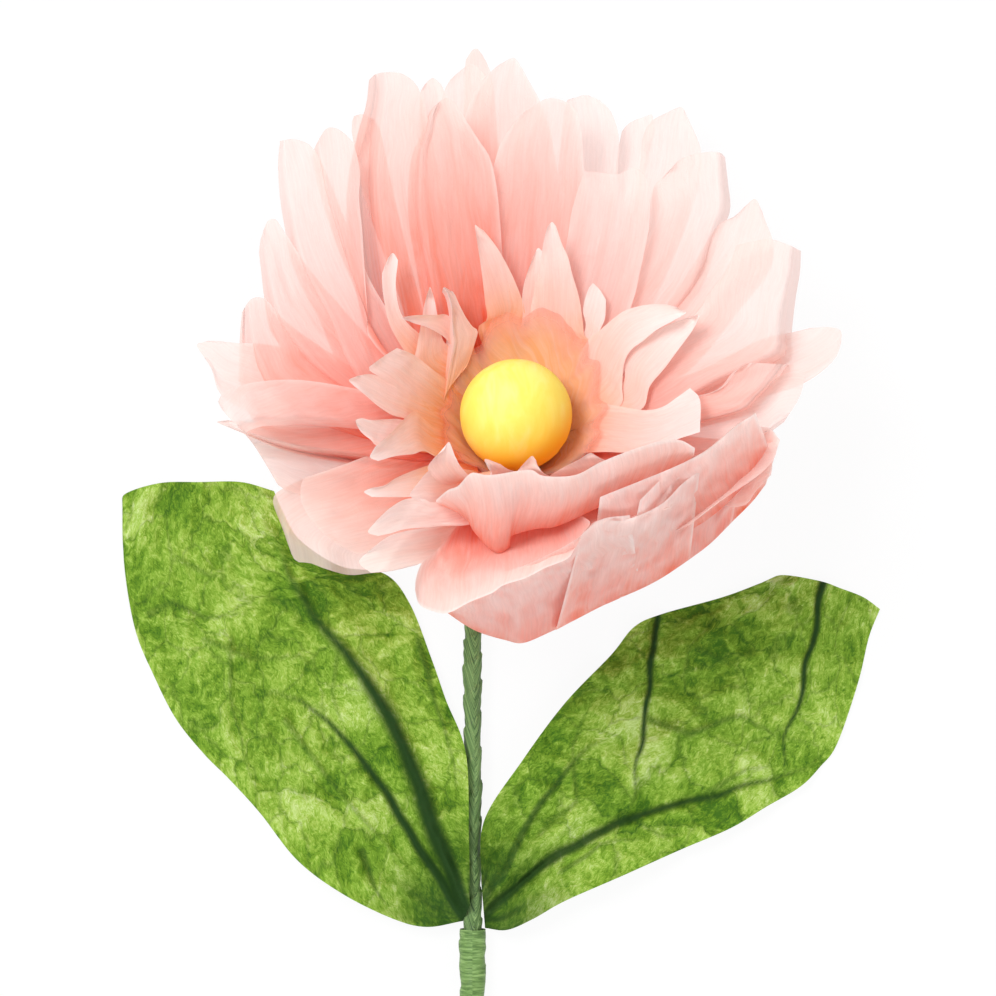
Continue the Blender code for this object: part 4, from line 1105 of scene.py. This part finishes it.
def make_leaves(paint):
    for name, node, edges, folds, pleat, seed in (
            ("left_leaf_paper", "leaf_left", LEFT_LEAF, LEFT_FOLDS, 0.7, 81),
            ("right_leaf_paper", "leaf_right", RIGHT_LEAF, RIGHT_FOLDS, 0.5, 84)):
        outer, inner, end = map(dots, edges)
        flat = edge_sheet(outer[:-1], end, inner[:-1], LEAF_ROWS, LEAF_COLUMNS)
        x, y = flat[..., 0], flat[..., 1]
        along = np.linspace(0, 1, flat.shape[0])[:, None]
        across = np.linspace(0, 1, flat.shape[1])[None, :]
        ridge = np.exp(-((across - pleat) / PLEAT_WIDTH) ** 2) * np.sin(math.pi * along ** 0.7)
        hollow = (2 * across - 1) ** 2 * np.sin(math.pi * along ** 0.6) ** 2 * (1 - along)
        height = 0.7 * MM + PLEAT_HEIGHT * ridge + CUP_HEIGHT * hollow
        height = height + JOINT_RADIUS * (1 - smooth_step(along / 0.5))
        height = height + STEM_RADIUS * across * (1 - smooth_step(along / 0.12))
        # Pixels warped a little, so that the folds wander
        wander = 5 * crumple(x * PIXEL, y * PIXEL, 9 * MM, seed + 5)
        dark = np.zeros(x.shape)
        for line, width, lift, shade in folds:
            near = line_nearness(x + wander, y + 0.7 * wander, dots(line), width)
            height = height + lift * MM * near
            dark = np.maximum(dark, shade * smooth_step(1.3 * near))
        ridges = crushed(x * PIXEL, y * PIXEL, 11 * MM, seed + 1)
        wrinkles = crushed(x * PIXEL, y * PIXEL, 4 * MM, seed + 3)
        height = height + 1.8 * MM * crumple(x * PIXEL, y * PIXEL, 24 * MM, seed)
        height = height + 1.3 * MM * ridges + 0.5 * MM * wrinkles
        # Painted shade: where the paper is gathered at the joint, its pleats are darkened
        near_joint = 1 - smooth_step((np.hypot(x - JOINT_PIXEL[0], y - JOINT_PIXEL[1]) - 14) / 120)
        pleats = crumple(across * 30 * MM + 0 * along, 0.2 * y * PIXEL, 3 * MM, seed + 7)
        dark = np.maximum(dark, near_joint * (0.75 + 0.5 * pleats))
        points = on_photo(flat, np.maximum(height, FLOOR_GAP))
        # Painted light and shade: ridges are paler and hollows deeper, over paler and deeper patches at
        # random
        ridge_light_and_shade = 0.3 * (ridges - ridges.mean()) + 0.2 * (wrinkles - wrinkles.mean())
        patches_and_painted_relief = np.clip(0.5 + 0.7 * crumple(x * PIXEL, y * PIXEL, 19 * MM, seed + 9) + ridge_light_and_shade, 0, 1)
        lay(name, [points], paint, [node],
            {"fold": [np.clip(dark, 0, 1)], "patches_and_painted_relief": [patches_and_painted_relief]})


# Floor, lamps and camera

FLOOR_REACH = 3.0
# How much of the floor is plain white to the camera; the rest shows its shadow
WHITE_SHARE = 0.93


def make_floor():
    """White paper under the flower, which keeps a soft shadow."""
    mesh = bpy.data.meshes.new("studio_floor")
    corners = [(FLOOR_REACH * x, FLOOR_REACH * y, 0) for x, y in ((-1, -1), (1, -1), (1, 1), (-1, 1))]
    mesh.from_pydata(corners, [], [(0, 1, 2, 3)])
    made, tree = new_material("white paper sweep")
    path = add(tree, "LightPath")
    seen = add(tree, "Math", {0: path["Is Camera Ray"], 1: path["Is Glossy Ray"]},
               operation="MAXIMUM")["Value"]
    share = add(tree, "Math", {0: seen, 1: WHITE_SHARE}, operation="MULTIPLY")["Value"]
    paper = add(tree, "BsdfDiffuse", {"Color": linear("#F4F4F4")})[0]
    white = add(tree, "Emission", {"Color": (1, 1, 1, 1), "Strength": 1.0})[0]
    both = add(tree, "MixShader", {0: share, 1: paper, 2: white})[0]
    add(tree, "OutputMaterial", {"Surface": both})
    mesh.materials.append(made)
    floor = bpy.data.objects.new("studio_floor", mesh)
    bpy.context.scene.collection.objects.link(floor)


def aim(thing, place, target):
    thing.location = place
    thing.rotation_euler = (Vector(target) - Vector(place)).to_track_quat("-Z", "Y").to_euler()


def make_lamps():
    for name, place, watts, size in (("key softbox", (-0.6, 0.6, 1.35), 17.3, 0.6),
                                     ("fill softbox", (0.35, -1.1, 0.75), 5.5, 0.9)):
        lamp = bpy.data.lights.new(name, "AREA")
        lamp.energy = watts
        lamp.size = size
        thing = bpy.data.objects.new(name, lamp)
        bpy.context.scene.collection.objects.link(thing)
        aim(thing, place, (0.0, 0.05, 0.04))
    world = bpy.data.worlds.new("white studio")
    world.use_nodes = True
    tree = world.node_tree
    tree.nodes.clear()
    path = add(tree, "LightPath")
    # Full white to the camera, softer as light on the flower
    seen = add(tree, "MapRange", {"Value": path["Is Camera Ray"], "To Min": 0.6, "To Max": 1.0})["Result"]
    glow = add(tree, "Background", {"Color": (1, 1, 1, 1), "Strength": seen})[0]
    add(tree, "OutputWorld", {"Surface": glow})
    bpy.context.scene.world = world


def make_camera():
    lens = bpy.data.cameras.new("camera over the flower")
    lens.sensor_width = 36.0
    lens.lens = lens.sensor_width * VIEW_DISTANCE / (FRAME_PIXELS * PIXEL)
    camera = bpy.data.objects.new("camera over the flower", lens)
    camera.location = EYE
    bpy.context.scene.collection.objects.link(camera)
    bpy.context.scene.camera = camera
    bpy.context.scene.view_settings.view_transform = "Standard"


def main():
    petal_paint = tissue("pink tissue paper, hand gathered",
                         [(0.0, "#FF5638"), (0.24, "#FF8A74"), (0.46, "#FFB6A6"), (0.72, "#FFD7CE"),
                          (1.0, "#FFF0EB")], 0.34)
    fringe_paint = tissue("pink tissue paper, cut into fringe",
                          [(0.0, "#FFA066"), (0.3, "#FFC29C"), (0.55, "#FFDDD2"), (1.0, "#FFF4F1")], 0.2)
    collar_paint = tissue("orange tissue paper, gathered round the ball",
                          [(0.0, "#FFA850"), (0.5, "#FFBE80"), (0.8, "#FFCFA4"), (1.0, "#FFE4D6")], 0.05)
    make_petals(petal_paint)
    make_strips(collar_paint, fringe_paint)
    make_ball(ball_paper())
    make_stem(wound_tape("green floral tape, wound", "#95B470", "#62844A", "#2E4A26"),
              wound_tape("pale green floral tape, wound", "#8FB26A", "#6E914D", "#4E7035"))
    make_leaves(leaf_paper())
    binding = wound_tape("green floral tape, wound over the petals", "#6FA070", "#4A7B4A", "#2E5A3A")
    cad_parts["head_binding"].material_slots[0].material = binding
    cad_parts["stem_wire"].material_slots[0].material = galvanised_wire()
    make_floor()
    make_lamps()
    make_camera()


main()
